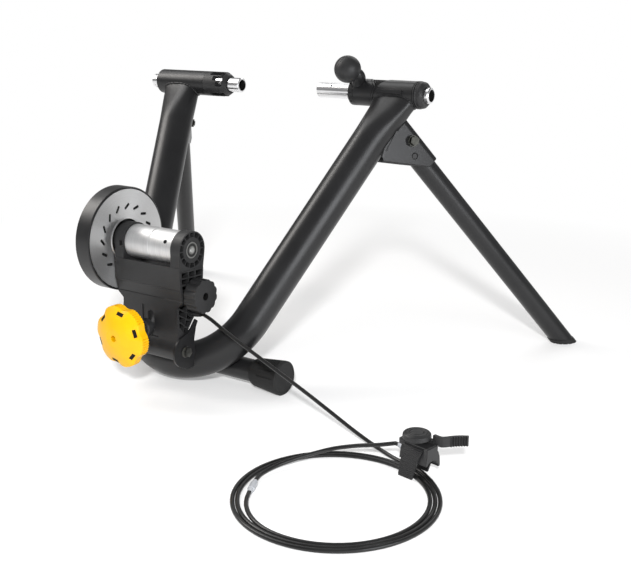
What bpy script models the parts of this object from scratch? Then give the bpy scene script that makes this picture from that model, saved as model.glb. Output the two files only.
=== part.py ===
"""Magnetic bike trainer: folding frame, axle clamps, tilting magnetic roller unit and cable remote.

Model axes: +X to the lever side, +Y forward, +Z up. Inside the root empty the frame's middle plane is
X = 0, the axle line is Y = 0 and the floor is Z = 0. All sizes are in metres.
"""

import math

import bmesh
import bpy
from mathutils import Matrix, Vector

# Where the axle line's middle lies, seen from the centre of the object's footprint
AXLE_MIDDLE_X = -0.0355
AXLE_MIDDLE_Y = 0.0792

# Clearances
SEAT_GAP = 0.0003
BORE_GAP = 0.0004
RUNNING_GAP = 0.0006

# U frame: one bent tube that leans back from the axle line
AXLE_HEIGHT = 0.3945
FRAME_LEAN = math.radians(53.24)
BEND_AXIS_Z = 0.0314
FRAME_TUBE_RADIUS = 0.026
FRAME_TUBE_WALL = 0.002
ARM_TOP_X = 0.2068
ARM_SPLAY = math.radians(15.27)
ARM_TOP_HALF_WIDTH = 0.031
ARM_TOP_HALF_DEPTH = 0.0188
ARM_FLARE_LENGTH = 0.085

# The tube's length and the bend's place follow from the axle height and the lean
FRAME_LENGTH = (AXLE_HEIGHT - BEND_AXIS_Z) / math.sin(FRAME_LEAN)
BEND_AXIS_Y = -FRAME_LENGTH * math.cos(FRAME_LEAN)

# Axle clamps
SLEEVE_RADIUS = 0.01945
SLEEVE_OUTER_X = ARM_TOP_X + 0.0282
LEFT_SLEEVE_OUTER_X = ARM_TOP_X + 0.0462
LEFT_SLEEVE_INNER_X = ARM_TOP_X - 0.0480
ROD_RADIUS = 0.0112
CUP_RADIUS = 0.0082
CUP_DEPTH = 0.020
RIGHT_ROD_INNER_X = ARM_TOP_X - 0.1398
RIGHT_ROD_OUTER_X = SLEEVE_OUTER_X + 0.0220
ROD_END_HOLE_RADIUS = 0.0076
LEFT_ROD_INNER_X = ARM_TOP_X - 0.1238
LEFT_ROD_OUTER_X = LEFT_SLEEVE_OUTER_X + 0.0230
COLLAR_INNER_X = LEFT_SLEEVE_INNER_X - 0.0548
COLLAR_TAPER_X = LEFT_SLEEVE_INNER_X - 0.0338
COLLAR_NOSE_RADIUS = 0.0150
CAM_NOTCH_X = ARM_TOP_X - 0.0408
CAM_DEPTH = 0.020
CAM_HALF_ANGLE = math.radians(110)
CAM_TIP_ANGLE = math.radians(135)
CAM_COLLAR_X = CAM_NOTCH_X - CAM_DEPTH - 0.0090
LEVER_RING_X = CAM_COLLAR_X - 0.0095
END_CAP_LENGTH = 0.0142
BALL_RADIUS = 0.0195

# Folding legs
HINGE_ALONG_ARM = 0.0473
HINGE_OFFSET = 0.0473
LEG_PLANE_OFFSET = 0.0026
LEG_TURN = math.radians(60.06)
LEG_ANGLE = math.radians(78.6)
LEG_RADIUS = 0.0157
LEG_WALL = 0.0016
LEG_AXIS_OFFSET = 0.0032
LEG_TIP_HEIGHT = 0.0045
FOOT_TOP_HEIGHT = 0.0100
FOOT_WALL = 0.0010
BRACKET_SHEET = 0.0018
BRACKET_BOLT_RADIUS = 0.0040

# Rear crossbar and its rubber feet
CROSSBAR_Y = BEND_AXIS_Y + 0.0412
CROSSBAR_RADIUS = 0.015875
CROSSBAR_WALL = 0.0016
CROSSBAR_HALF_LENGTH = 0.160
REAR_FOOT_RADIUS = 0.0243
REAR_FOOT_AXIS_Z = 0.0235
REAR_FOOT_LENGTH = 0.0520
REAR_FOOT_END = 0.0060

# Pivot of the resistance unit on the frame
PIVOT_Y = BEND_AXIS_Y - 0.0348
PIVOT_Z = BEND_AXIS_Z + 0.0306
PIVOT_BOLT_RADIUS = 0.0040
PIVOT_BARREL_RADIUS = 0.0150
EAR_SHEET = 0.0030
EAR_RADIUS = 0.0220
EAR_GAP = 0.0010

# Resistance unit housing, from its pivot
HOUSING_REAR_Y = PIVOT_Y - 0.0120
HOUSING_SET_BACK = 0.0030
HOUSING_LOW_REAR_Y = HOUSING_REAR_Y + HOUSING_SET_BACK
HOUSING_TOP_Z = PIVOT_Z + 0.1200
HOUSING_CREASE_Z = PIVOT_Z + 0.0890
HOUSING_LOW_TOP_Z = PIVOT_Z + 0.0730
HOUSING_HALF_WIDTH = 0.0600
HOUSING_LOW_HALF_WIDTH = HOUSING_HALF_WIDTH - 0.0100
HOUSING_STEP_Z = PIVOT_Z + 0.0630
HOUSING_STEP_HEIGHT = 0.0090
HOUSING_WALL = 0.0040
RIB_SHEET = 0.0022
RIB_FALL = 0.0120
CAVITY_HALF_WIDTH = 0.0200
YOKE_OUTER_X = HOUSING_HALF_WIDTH - 0.0007
YOKE_WIDTH = 0.0160
YOKE_INNER_X = YOKE_OUTER_X - YOKE_WIDTH
YOKE_RING_RADIUS = 0.0257
RING_CELL_COUNT = 14
SLOT_HALF_WIDTH = 0.0060
RECESS_DEPTH = 0.0014

# Roller, its shaft and bearings
ROLLER_Y = PIVOT_Y + 0.0149
ROLLER_Z = PIVOT_Z + 0.1405
ROLLER_RADIUS = 0.0235
SHAFT_RADIUS = 0.0040
SHAFT_RIGHT_X = YOKE_OUTER_X + 0.0009
BEARING_RADIUS = 0.0110
BEARING_WIDTH = 0.0070

# Flywheel and the magnets that it turns past
FLYWHEEL_FACE_X = -YOKE_OUTER_X - 0.0020
FLYWHEEL_RADIUS = 0.0730
FLYWHEEL_WIDTH = 0.0260
FLYWHEEL_RIM_WALL = 0.0028
FLYWHEEL_END_WALL = 0.0050
SHAFT_LEFT_X = FLYWHEEL_FACE_X - FLYWHEEL_WIDTH - 0.0061
FACE_THICKNESS = 0.0030
FACE_BORE_RADIUS = 0.0285
VENT_COUNT = 16
VENT_RADIUS = 0.0458
VENT_LENGTH = 0.0114
VENT_WIDTH = 0.0034
VENT_SLANT = math.radians(-48)
VENT_PHASE = math.radians(18.5)
MAGNET_COUNT = 10
MAGNET_RADIUS = 0.0070
MAGNET_CIRCLE = 0.0460
MAGNET_GAP = 0.0016
MAGNET_THICKNESS = 0.0024
KEEPER_THICKNESS = 0.0010
CARRIER_THICKNESS = 0.0040
CARRIER_RADIUS = 0.0600
HUB_RADIUS = 0.0220

# Side knob and cable gland
SIDE_KNOB_Y = PIVOT_Y + 0.0145
SIDE_KNOB_Z = PIVOT_Z + 0.0795
SIDE_KNOB_RADIUS = 0.0235
SIDE_KNOB_LENGTH = 0.0190
SIDE_KNOB_FLUTES = 12
SIDE_KNOB_FLUTE_DEPTH = 0.0019
SIDE_KNOB_HOLE_RADIUS = 0.0054
SIDE_BOLT_RADIUS = 0.0040
GLAND_Y = PIVOT_Y + 0.0200
GLAND_Z = PIVOT_Z + 0.0510
GLAND_RADIUS = 0.0050
GLAND_END_X = HOUSING_LOW_HALF_WIDTH + 0.0170

# Tension bolt and knob
BOLT_Z = PIVOT_Z + 0.0305
BOLT_RADIUS = 0.0040
KNOB_REAR_Y = HOUSING_REAR_Y - 0.0680
KNOB_RIM_Y = KNOB_REAR_Y + 0.0122
KNOB_BASE_Y = KNOB_REAR_Y + 0.0230
BOLT_REAR_Y = KNOB_REAR_Y + 0.0080
CORE_NOSE_RADIUS = 0.0070
CORE_RADIUS = 0.0125
CORE_STEM_RADIUS = 0.0090
KNOB_RADIUS = 0.0425
KNOB_WALL = 0.0028
KNOB_LOBES = 6
KNOB_SCALLOP = 0.0042
KNOB_PHASE = math.radians(18.6)

# Remote shifter that lies on the floor beside the trainer
REMOTE_X = 0.4350
REMOTE_Y = -0.3430
REMOTE_YAW = math.radians(-10)
BAR_AXIS_Z = 0.0140
BAR_RADIUS = 0.0113
SADDLE_TOP_Z = 0.0379
SADDLE_LEFT_X = -0.0160
SADDLE_RIGHT_X = 0.0172
CHEEK_END_X = 0.0230
REMOTE_BLOCK_TOP = 0.0421
STRAP_THICKNESS = 0.0022
STRAP_GAP = 0.0004
STRAP_WIDTH = 0.0265
STRAP_LOW_WIDTH = 0.0200
STRAP_LEAN = 0.0110
CAP_RADIUS = 0.0165
CAP_HEIGHT = 0.0072
THUMB_HUB_RADIUS = 0.0158
THUMB_HUB_HEIGHT = 0.0041
THUMB_RISE = 0.0065
THUMB_SHEET = 0.0042
THUMB_RIBS = 7
PORT_RADIUS = 0.0040
PORT_LENGTH = 0.0095
PORT_Z = 0.0296

# Cable from the unit to the remote
CABLE_RADIUS = 0.0025
COIL_X = 0.3906
COIL_Y = -0.4438
COIL_RADIUS = 0.1146
COIL_PITCH = 0.0056
COIL_TURNS = 61 / 24
COIL_START = math.radians(48)
COIL_LOOP_POINTS = 24
COIL_DIP = 0.0060
BARREL_RADIUS = 0.0040
BARREL_LENGTH = 0.0260

PARTS = bpy.data.collections.new("magnetic_bike_trainer")
CUTTERS = bpy.data.collections.new("cutters")

# Colour, roughness and metallic value of each material
FINISHES = {
    "powder_coat_black": ((0.022, 0.022, 0.024), 0.42, 0.0),
    "plastic_black": ((0.030, 0.030, 0.032), 0.55, 0.0),
    "rubber_black": ((0.020, 0.020, 0.020), 0.80, 0.0),
    "machined_aluminium": ((0.78, 0.78, 0.79), 0.28, 1.0),
    "zinc_steel": ((0.62, 0.61, 0.58), 0.35, 1.0),
    "plastic_yellow": ((0.98, 0.66, 0.01), 0.38, 0.0),
    "magnet_nickel": ((0.55, 0.54, 0.52), 0.30, 1.0),
    "cable_black": ((0.018, 0.018, 0.018), 0.45, 0.0),
    "plastic_grey": ((0.45, 0.46, 0.48), 0.45, 0.0),
    "webbing_black": ((0.025, 0.025, 0.027), 0.90, 0.0),
}

FRAME_DOWN = Vector((0, -math.cos(FRAME_LEAN), -math.sin(FRAME_LEAN)))
FRAME_BACK = Vector((0, -math.sin(FRAME_LEAN), math.cos(FRAME_LEAN)))
BEND_RADIUS = ((ARM_TOP_X - math.tan(ARM_SPLAY) * FRAME_LENGTH)
               / (1 / math.cos(ARM_SPLAY) - math.tan(ARM_SPLAY)))
BEND_CENTRE = FRAME_LENGTH - BEND_RADIUS

# Model-space matrix of each parent empty, by name
PLACES = {}


# Scene helpers

def clear_scene():
    for obj in list(bpy.data.objects):
        bpy.data.objects.remove(obj, do_unlink=True)
    bpy.context.scene.collection.children.link(PARTS)
    bpy.context.scene.collection.children.link(CUTTERS)


def material(name):
    found = bpy.data.materials.get(name)
    if found:
        return found
    colour, roughness, metallic = FINISHES[name]
    made = bpy.data.materials.new(name)
    made.use_nodes = True
    shader = made.node_tree.nodes["Principled BSDF"]
    shader.inputs["Base Color"].default_value = (*colour, 1)
    shader.inputs["Roughness"].default_value = roughness
    shader.inputs["Metallic"].default_value = metallic
    made.diffuse_color = (*colour, 1)
    return made


def empty(name, matrix, parent=None):
    """A parent empty whose origin lies on its body's joint axis."""
    obj = bpy.data.objects.new(name, None)
    obj.empty_display_size = 0.02
    PARTS.objects.link(obj)
    PLACES[name] = matrix
    obj.parent = parent
    start = PLACES[parent.name].inverted() if parent else Matrix()
    obj.matrix_local = start @ matrix
    return obj


def made_object(name, data, matrix, parent, cutter=False):
    obj = bpy.data.objects.new(name, data)
    (CUTTERS if cutter else PARTS).objects.link(obj)
    obj.parent = parent
    obj.matrix_local = PLACES[parent.name].inverted() @ matrix
    if cutter:
        obj.hide_render = True
        obj.display_type = "WIRE"
    return obj


def bake(obj):
    """Keep the evaluated mesh and drop the modifiers that made it."""
    bpy.context.view_layer.update()
    graph = bpy.context.evaluated_depsgraph_get()
    mesh = bpy.data.meshes.new_from_object(obj.evaluated_get(graph), depsgraph=graph)
    obj.modifiers.clear()
    obj.data = mesh
    return obj


def remove(obj):
    bpy.data.objects.remove(obj, do_unlink=True)


def boolean(obj, others, operation):
    for other in others:
        step = obj.modifiers.new(operation.lower(), "BOOLEAN")
        step.operation = operation
        step.solver = "EXACT"
        step.object = other
    bake(obj)
    for other in others:
        remove(other)
    return obj


def cut(obj, *cutters):
    return boolean(obj, cutters, "DIFFERENCE")


def join(obj, *others):
    return boolean(obj, others, "UNION")


def finish(obj, finish_name):
    """Clean the mesh, shade round faces smooth and give the piece its own material."""
    bm = bmesh.new()
    bm.from_mesh(obj.data)
    bmesh.ops.remove_doubles(bm, verts=bm.verts, dist=1e-6)
    bmesh.ops.dissolve_degenerate(bm, edges=bm.edges, dist=1e-6)
    bmesh.ops.dissolve_limit(bm, angle_limit=math.radians(0.05), verts=bm.verts, edges=bm.edges)
    bm.to_mesh(obj.data)
    bm.free()
    obj.data.materials.clear()
    obj.data.materials.append(material(finish_name))
    obj.data.shade_smooth()
    obj.data.set_sharp_from_angle(angle=math.radians(32))
    return obj


# Shape helpers

def from_bmesh(name, bm, matrix, parent):
    bmesh.ops.recalc_face_normals(bm, faces=bm.faces)
    mesh = bpy.data.meshes.new(name)
    bm.to_mesh(mesh)
    bm.free()
    return made_object(name, mesh, matrix, parent)


def ringed(name, rings, parent, matrix=None, inner=None, closed=False):
    """Skin between rings of points: capped ends, an inner skin, or rings that close on themselves."""
    bm = bmesh.new()

    def skin(loops):
        made = [[bm.verts.new(point) for point in loop] for loop in loops]
        pairs = list(zip(made, made[1:]))
        if closed:
            pairs.append((made[-1], made[0]))
        for low, high in pairs:
            for i in range(len(low)):
                j = (i + 1) % len(low)
                bm.faces.new((low[i], low[j], high[j], high[i]))
        return made[0], made[-1]

    first, last = skin(rings)
    if inner:
        inner_first, inner_last = skin(inner)
        for outer_loop, inner_loop in ((first, inner_first), (last, inner_last)):
            for i in range(len(outer_loop)):
                j = (i + 1) % len(outer_loop)
                bm.faces.new((outer_loop[i], outer_loop[j], inner_loop[j], inner_loop[i]))
    elif not closed:
        bm.faces.new(first)
        bm.faces.new(last)
    return from_bmesh(name, bm, matrix or Matrix(), parent)


def turned(name, profile, matrix, parent, hollow=False, steps=20):
    """Profile points (radius, height) run down the outer side; a hollow one closes up its inner side."""
    bm = bmesh.new()
    verts = [bm.verts.new((radius, 0, height)) for radius, height in profile]
    for a, b in zip(verts, verts[1:]):
        bm.edges.new((a, b))
    if hollow:
        bm.edges.new((verts[-1], verts[0]))
    mesh = bpy.data.meshes.new(name)
    bm.to_mesh(mesh)
    bm.free()
    obj = made_object(name, mesh, matrix, parent)
    screw = obj.modifiers.new("turn", "SCREW")
    screw.axis = "Z"
    screw.angle = 2 * math.pi
    screw.steps = steps
    screw.render_steps = steps
    screw.use_merge_vertices = True
    screw.merge_threshold = 0.00001
    return bake(obj)


def rod(name, radius, low, high, matrix, parent, steps=14):
    profile = [(0, high), (radius, high), (radius, low), (0, low)]
    return turned(name, profile, matrix, parent, steps=steps)


def pipe(name, outer, bore, low, high, matrix, parent, steps=22):
    profile = [(outer, high), (outer, low), (bore, low), (bore, high)]
    return turned(name, profile, matrix, parent, hollow=True, steps=steps)


def plate(name, outline, thickness, matrix, parent, holes=()):
    """A flat outline in the local XY plane, as thick on both sides of it, made a welded mesh."""
    curve = bpy.data.curves.new(name, "CURVE")
    curve.dimensions = "2D"
    curve.fill_mode = "BOTH"
    curve.extrude = thickness / 2
    curve.resolution_u = 1
    for loop in (outline, *holes):
        spline = curve.splines.new("POLY")
        spline.points.add(len(loop) - 1)
        for point, (x, y) in zip(spline.points, loop):
            point.co = (x, y, 0, 1)
        spline.use_cyclic_u = True
    shape = made_object(name + "_outline", curve, matrix, parent)
    bpy.context.view_layer.update()
    graph = bpy.context.evaluated_depsgraph_get()
    mesh = bpy.data.meshes.new_from_object(shape.evaluated_get(graph), depsgraph=graph)
    remove(shape)
    bm = bmesh.new()
    bm.from_mesh(mesh)
    bmesh.ops.remove_doubles(bm, verts=bm.verts, dist=1e-6)
    bpy.data.meshes.remove(mesh)
    return from_bmesh(name, bm, matrix, parent)


def box(name, low, high, matrix, parent):
    bm = bmesh.new()
    bmesh.ops.create_cube(bm, size=1)
    size = Vector(high) - Vector(low)
    bmesh.ops.scale(bm, vec=size, verts=bm.verts)
    bmesh.ops.translate(bm, vec=(Vector(high) + Vector(low)) / 2, verts=bm.verts)
    return from_bmesh(name, bm, matrix, parent)


def together(name, objects, parent):
    """Several separate solids as one object, such as a pattern of cutters or a set of magnets."""
    bpy.context.view_layer.update()
    bm = bmesh.new()
    to_parent = parent.matrix_world.inverted()
    for obj in objects:
        part = obj.data.copy()
        part.transform(to_parent @ obj.matrix_world)
        bm.from_mesh(part)
        bpy.data.meshes.remove(part)
        remove(obj)
    return from_bmesh(name, bm, PLACES[parent.name], parent)


def round_edges(obj, width, segments=2, angle=40):
    step = obj.modifiers.new("round", "BEVEL")
    step.width = width
    step.segments = segments
    step.limit_method = "ANGLE"
    step.angle_limit = math.radians(angle)
    return bake(obj)


def arc(centre, radius, start, end, points):
    """Points along a circle between two angles in degrees."""
    steps = [math.radians(start + (end - start) * i / (points - 1)) for i in range(points)]
    return [(centre[0] + radius * math.cos(a), centre[1] + radius * math.sin(a)) for a in steps]


def circle(centre, radius, points=14):
    return arc(centre, radius, 0, 360 - 360 / points, points)


def smooth_step(value):
    value = min(max(value, 0), 1)
    return value * value * (3 - 2 * value)


def blend(start, end, share):
    return start + (end - start) * share


# Placing helpers: matrices that stand a local Z axis or plane where it belongs

def along_x(x=0, y=0, z=0):
    return Matrix.Translation((x, y, z)) @ Matrix.Rotation(math.pi / 2, 4, "Y")


def along_rear(x=0, y=0, z=0):
    """Local Z points to -Y."""
    return Matrix.Translation((x, y, z)) @ Matrix.Rotation(math.pi / 2, 4, "X")


def side_plane(x=0):
    """Local X is model Y, local Y is model Z and local Z is model X."""
    columns = ((0, 0, 1, x), (1, 0, 0, 0), (0, 1, 0, 0), (0, 0, 0, 1))
    return Matrix(columns)


def at_axle(x=0):
    return along_x(x, 0, AXLE_HEIGHT)


def at_roller(x=0):
    return along_x(x, ROLLER_Y, ROLLER_Z)


# U frame

def frame_point(x, along):
    return Vector((x, 0, AXLE_HEIGHT)) + FRAME_DOWN * along


def frame_stations():
    """Centre, direction and two half sizes of the tube, from the right top round to the left top."""
    arm_length = (BEND_CENTRE + BEND_RADIUS * math.sin(ARM_SPLAY)) / math.cos(ARM_SPLAY)
    direction = Vector((-math.sin(ARM_SPLAY), 0, 0)) + FRAME_DOWN * math.cos(ARM_SPLAY)
    right = []
    flare_shares = [0, 0.25, 0.55, 1]
    for length in [share * ARM_FLARE_LENGTH for share in flare_shares]:
        share = smooth_step(length / ARM_FLARE_LENGTH)
        width = blend(ARM_TOP_HALF_WIDTH, FRAME_TUBE_RADIUS, share)
        depth = blend(ARM_TOP_HALF_DEPTH, FRAME_TUBE_RADIUS, share)
        right.append((frame_point(ARM_TOP_X, 0) + direction * length, direction, width, depth))
    right.append((frame_point(ARM_TOP_X, 0) + direction * arm_length, direction,
                  FRAME_TUBE_RADIUS, FRAME_TUBE_RADIUS))
    bend = []
    bend_steps = 10
    sweep = math.pi - 2 * ARM_SPLAY
    for i in range(1, bend_steps):
        a = ARM_SPLAY + sweep * i / bend_steps
        centre = frame_point(BEND_RADIUS * math.cos(a), BEND_CENTRE + BEND_RADIUS * math.sin(a))
        heading = Vector((-math.sin(a), 0, 0)) + FRAME_DOWN * math.cos(a)
        bend.append((centre, heading, FRAME_TUBE_RADIUS, FRAME_TUBE_RADIUS))
    left = []
    for centre, heading, width, depth in reversed(right):
        mirrored = Vector((-centre.x, centre.y, centre.z))
        back_up = Vector((heading.x, -heading.y, -heading.z))
        left.append((mirrored, back_up, width, depth))
    return right + bend + left


def frame_rings(grow, sides=15):
    rings = []
    for centre, heading, width, depth in frame_stations():
        across = heading.cross(FRAME_BACK)
        ring = []
        for i in range(sides):
            a = 2 * math.pi * (i + 0.5) / sides
            ring.append(centre + across * (width + grow) * math.cos(a)
                        + FRAME_BACK * (depth + grow) * math.sin(a))
        rings.append(ring)
    return rings


def frame_clearance(root):
    """The frame tube grown by a seat gap, to cope what is welded on it."""
    return ringed("frame_clearance", frame_rings(SEAT_GAP), root)


def make_main_frame(root):
    frame = ringed("main_frame", frame_rings(0), root, inner=frame_rings(-FRAME_TUBE_WALL))
    sleeve_room = [rod("sleeve_room", SLEEVE_RADIUS + SEAT_GAP, -0.05, 0.05, at_axle(side * ARM_TOP_X),
                       root, steps=22) for side in (-1, 1)]
    finish(cut(frame, *sleeve_room), "powder_coat_black")


def make_crossbar(root):
    bar = pipe("rear_crossbar", CROSSBAR_RADIUS, CROSSBAR_RADIUS - CROSSBAR_WALL,
               -CROSSBAR_HALF_LENGTH, CROSSBAR_HALF_LENGTH, along_x(0, CROSSBAR_Y, REAR_FOOT_AXIS_Z), root)
    finish(cut(bar, frame_clearance(root)), "powder_coat_black")


def make_rear_foot(root, side, name):
    """Rubber boot over the end of the crossbar: tapered mouth, flutes, closed end and flat sole."""
    bore = CROSSBAR_RADIUS + SEAT_GAP
    tip = CROSSBAR_HALF_LENGTH + SEAT_GAP
    end = tip + REAR_FOOT_END
    mouth = CROSSBAR_HALF_LENGTH - REAR_FOOT_LENGTH
    taper = 0.010
    profile = [(0, end), (REAR_FOOT_RADIUS - 0.003, end), (REAR_FOOT_RADIUS - 0.0008, end - 0.0012),
               (REAR_FOOT_RADIUS, end - 0.004), (REAR_FOOT_RADIUS, mouth + taper),
               (bore + 0.003, mouth), (bore, mouth), (bore, tip), (0, tip)]
    turn = Matrix.Rotation(math.pi if side < 0 else 0, 4, "Z")
    place = Matrix.Translation((0, CROSSBAR_Y, REAR_FOOT_AXIS_Z)) @ turn @ along_x()
    foot = turned(name, profile, place, root, steps=22)
    grooves = []
    groove_count = 10
    for i in range(groove_count):
        a = math.radians(-60 + 300 * i / (groove_count - 1))
        radius = REAR_FOOT_RADIUS + 0.0006
        shift = Matrix.Translation((radius * math.cos(a), radius * math.sin(a), 0))
        grooves.append(rod("flute", 0.0016, mouth + 0.014, end + 0.001,
                           place @ Matrix.Rotation(math.radians(-30), 4, "Z") @ shift, root, steps=4))
    sole = box("sole", (-0.3, -0.1, -0.05), (0.3, 0.1, 0), Matrix.Translation((0, CROSSBAR_Y, 0)), root)
    finish(cut(foot, together("flutes", grooves, root), sole), "rubber_black")


# Folding legs

def arm_direction(side):
    return Vector((-side * math.sin(ARM_SPLAY), 0, 0)) + FRAME_DOWN * math.cos(ARM_SPLAY)


def leg_place(side):
    """Matrix on the hinge: local X down the leg, local Y outward, local Z along the hinge bolt."""
    arm = arm_direction(side)
    outward = Vector((side * math.cos(ARM_SPLAY), 0, 0)) + FRAME_DOWN * math.sin(ARM_SPLAY)
    apart = outward * math.cos(LEG_TURN) - FRAME_BACK * math.sin(LEG_TURN)
    bolt = arm.cross(apart)
    leg = arm * math.cos(LEG_ANGLE) + apart * math.sin(LEG_ANGLE)
    hinge = (frame_point(side * ARM_TOP_X, 0) + arm * HINGE_ALONG_ARM + apart * HINGE_OFFSET
             + bolt * side * LEG_PLANE_OFFSET)
    over = bolt.cross(leg)
    place = Matrix((leg, over, bolt)).transposed().to_4x4()
    place.translation = hinge
    return place


def leg_length(place):
    """From the hinge down the leg's axis to the floor."""
    start = place @ Vector((0, -LEG_AXIS_OFFSET, 0))
    fall = (place.to_3x3() @ Vector((1, 0, 0))).z
    return start.z / -fall


BRACKET_INNER = LEG_RADIUS + BORE_GAP
BRACKET_BACK = LEG_RADIUS - LEG_AXIS_OFFSET + BORE_GAP
PLUG_SPOT = (0.0182, -0.0122)
PLUG_RADIUS = 0.0042


def make_leg_bracket(root, side, name):
    """Folded sheet channel welded to the arm: two cheeks and a back that stops the leg."""
    place = leg_place(side)
    back = BRACKET_BACK + BRACKET_SHEET
    reach = HINGE_OFFSET
    outline = [(-0.59 * reach, back), (0.97 * reach, back), (1.004 * reach, -0.085 * reach),
               (0.486 * reach, -0.554 * reach), (-0.19 * reach, -1.146 * reach),
               (-0.40 * reach, -1.057 * reach), (-0.53 * reach, -0.825 * reach),
               (-0.655 * reach, -0.169 * reach)]
    width = 2 * (BRACKET_INNER + BRACKET_SHEET)
    channel = plate(name, outline, width, place, root)
    round_edges(channel, 0.0022, segments=1, angle=60)
    room = box("leg_room", (-0.08, -0.1, -BRACKET_INNER), (0.1, BRACKET_BACK, BRACKET_INNER), place, root)
    bolt_hole = rod("bolt_hole", BRACKET_BOLT_RADIUS + BORE_GAP, -0.03, 0.03, place, root)
    spot = Matrix.Translation((*PLUG_SPOT, 0))
    plug_hole = rod("plug_hole", PLUG_RADIUS + SEAT_GAP, 0, 0.03, place @ spot, root)
    finish(cut(channel, room, frame_clearance(root), bolt_hole, plug_hole), "powder_coat_black")


def make_bracket_plug(root, side, name):
    """Plastic glide plug that fills the cheek's round hole and steadies the leg."""
    place = leg_place(side) @ Matrix.Translation((*PLUG_SPOT, 0))
    low = BRACKET_INNER - 0.0001
    high = BRACKET_INNER + BRACKET_SHEET + 0.0004
    profile = [(0, high), (PLUG_RADIUS - 0.0005, high), (PLUG_RADIUS, high - 0.0005), (PLUG_RADIUS, low),
               (0, low)]
    finish(turned(name, profile, place, root, steps=14), "plastic_black")


def through_bolt(name, radius, half_grip, across, place, parent):
    """Bolt through two cheeks: washer and hex head on the +Z side, hex nut and bolt tip on the other."""
    washer = 0.0014
    head = 0.0050
    tip = 0.0075
    profile = [(0, half_grip + washer), (across + 0.0010, half_grip + washer), (across + 0.0010, half_grip),
               (radius, half_grip), (radius, -half_grip - tip), (0, -half_grip - tip)]
    bolt = turned(name, profile, place, parent, steps=12)
    turn = place @ Matrix.Rotation(math.radians(11), 4, "Z")
    hexes = [rod("head", across, half_grip + washer / 2, half_grip + washer + head, turn, parent, steps=6),
             rod("nut", across, -half_grip - 0.0058, -half_grip, turn, parent, steps=6)]
    return finish(join(bolt, *hexes), "zinc_steel")


def make_leg_bolt(root, side, name):
    """Hinge bolt whose head is on the cheek that faces the rear."""
    half_grip = BRACKET_INNER + BRACKET_SHEET + SEAT_GAP
    flip = Matrix.Rotation(math.pi if side < 0 else 0, 4, "X")
    through_bolt(name, BRACKET_BOLT_RADIUS, half_grip, 0.0070, leg_place(side) @ flip, root)


def make_leg(hinge, root, side, name):
    """Leg tube with a rounded top that turns inside the bracket and a foot cut along the floor."""
    place = leg_place(side)
    length = leg_length(place)
    tube_place = place @ Matrix.Translation((0, -LEG_AXIS_OFFSET, 0)) @ Matrix.Rotation(math.pi / 2, 4, "Y")
    tube = pipe(name, LEG_RADIUS, LEG_RADIUS - LEG_WALL, -0.03, length + 0.04, tube_place, hinge, steps=18)
    top_radius = BRACKET_BACK - 0.0004
    corner = [(-0.06, 0.04), (0, 0.04), *arc((0, 0), top_radius, 90, 180, 7), (-0.0095, -0.0195),
              (-0.06, -0.04)]
    above = plate("top_corner", corner, 0.1, place, hinge)
    below = box("floor_cut", (-1, -1, -0.2), (1, 1, LEG_TIP_HEIGHT), Matrix(), root)
    bolt_hole = rod("bolt_hole", BRACKET_BOLT_RADIUS + BORE_GAP, -0.03, 0.03, place, root)
    finish(cut(tube, above, below, bolt_hole), "powder_coat_black")


def make_leg_foot(hinge, root, side, name):
    """Thin rubber shoe round the leg's slanted end, with a flat ribbed sole on the floor."""
    place = leg_place(side)
    length = leg_length(place)
    tube_place = place @ Matrix.Translation((0, -LEG_AXIS_OFFSET, 0)) @ Matrix.Rotation(math.pi / 2, 4, "Y")
    outer = LEG_RADIUS + SEAT_GAP + FOOT_WALL
    span = 3 * LEG_RADIUS
    shoe = rod(name, outer, length - span, length + span, tube_place, hinge, steps=18)
    room = rod("leg_room", LEG_RADIUS + SEAT_GAP, length - 2 * span, length + 2 * span, tube_place, hinge,
               steps=18)
    room_floor = box("room_floor", (-1, -1, -0.2), (1, 1, LEG_TIP_HEIGHT - SEAT_GAP), Matrix(), root)
    cut(room, room_floor)
    above = box("above", (-1, -1, FOOT_TOP_HEIGHT), (1, 1, 0.4), Matrix(), root)
    below = box("below", (-1, -1, -0.2), (1, 1, 0), Matrix(), root)
    centre = place @ Vector((length, -LEG_AXIS_OFFSET, 0))
    grooves = []
    groove_pitch = 0.57 * LEG_RADIUS
    for i in range(-2, 3):
        shift = Matrix.Translation((centre.x, centre.y, 0)) @ Matrix.Rotation(side * math.radians(50), 4, "Z")
        grooves.append(box("groove", (i * groove_pitch - 0.0009, -0.03, -0.01),
                           (i * groove_pitch + 0.0009, 0.03, 0.0009), shift, root))
    finish(cut(shoe, room, above, below, together("grooves", grooves, root)), "rubber_black")


# Axle clamps

def cam_edge(angle):
    """Axial place of the V cam edge at an angle round the axle line."""
    away = abs((angle - CAM_TIP_ANGLE + math.pi) % (2 * math.pi) - math.pi)
    return CAM_NOTCH_X - CAM_DEPTH * min(away / CAM_HALF_ANGLE, 1)


def cam_tube(name, plain_x, shift, parent, sides=32):
    """Tube round the axle line whose one end follows the V cam edge."""
    bore = ROD_RADIUS + BORE_GAP
    rings = []
    for radius, plain in ((SLEEVE_RADIUS, True), (SLEEVE_RADIUS, False), (bore, False), (bore, True)):
        ring = []
        for i in range(sides):
            a = 2 * math.pi * i / sides
            x = plain_x if plain else cam_edge(a) + shift
            ring.append((x, radius * math.cos(a), AXLE_HEIGHT + radius * math.sin(a)))
        rings.append(ring)
    return ringed(name, rings, parent, closed=True)


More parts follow.
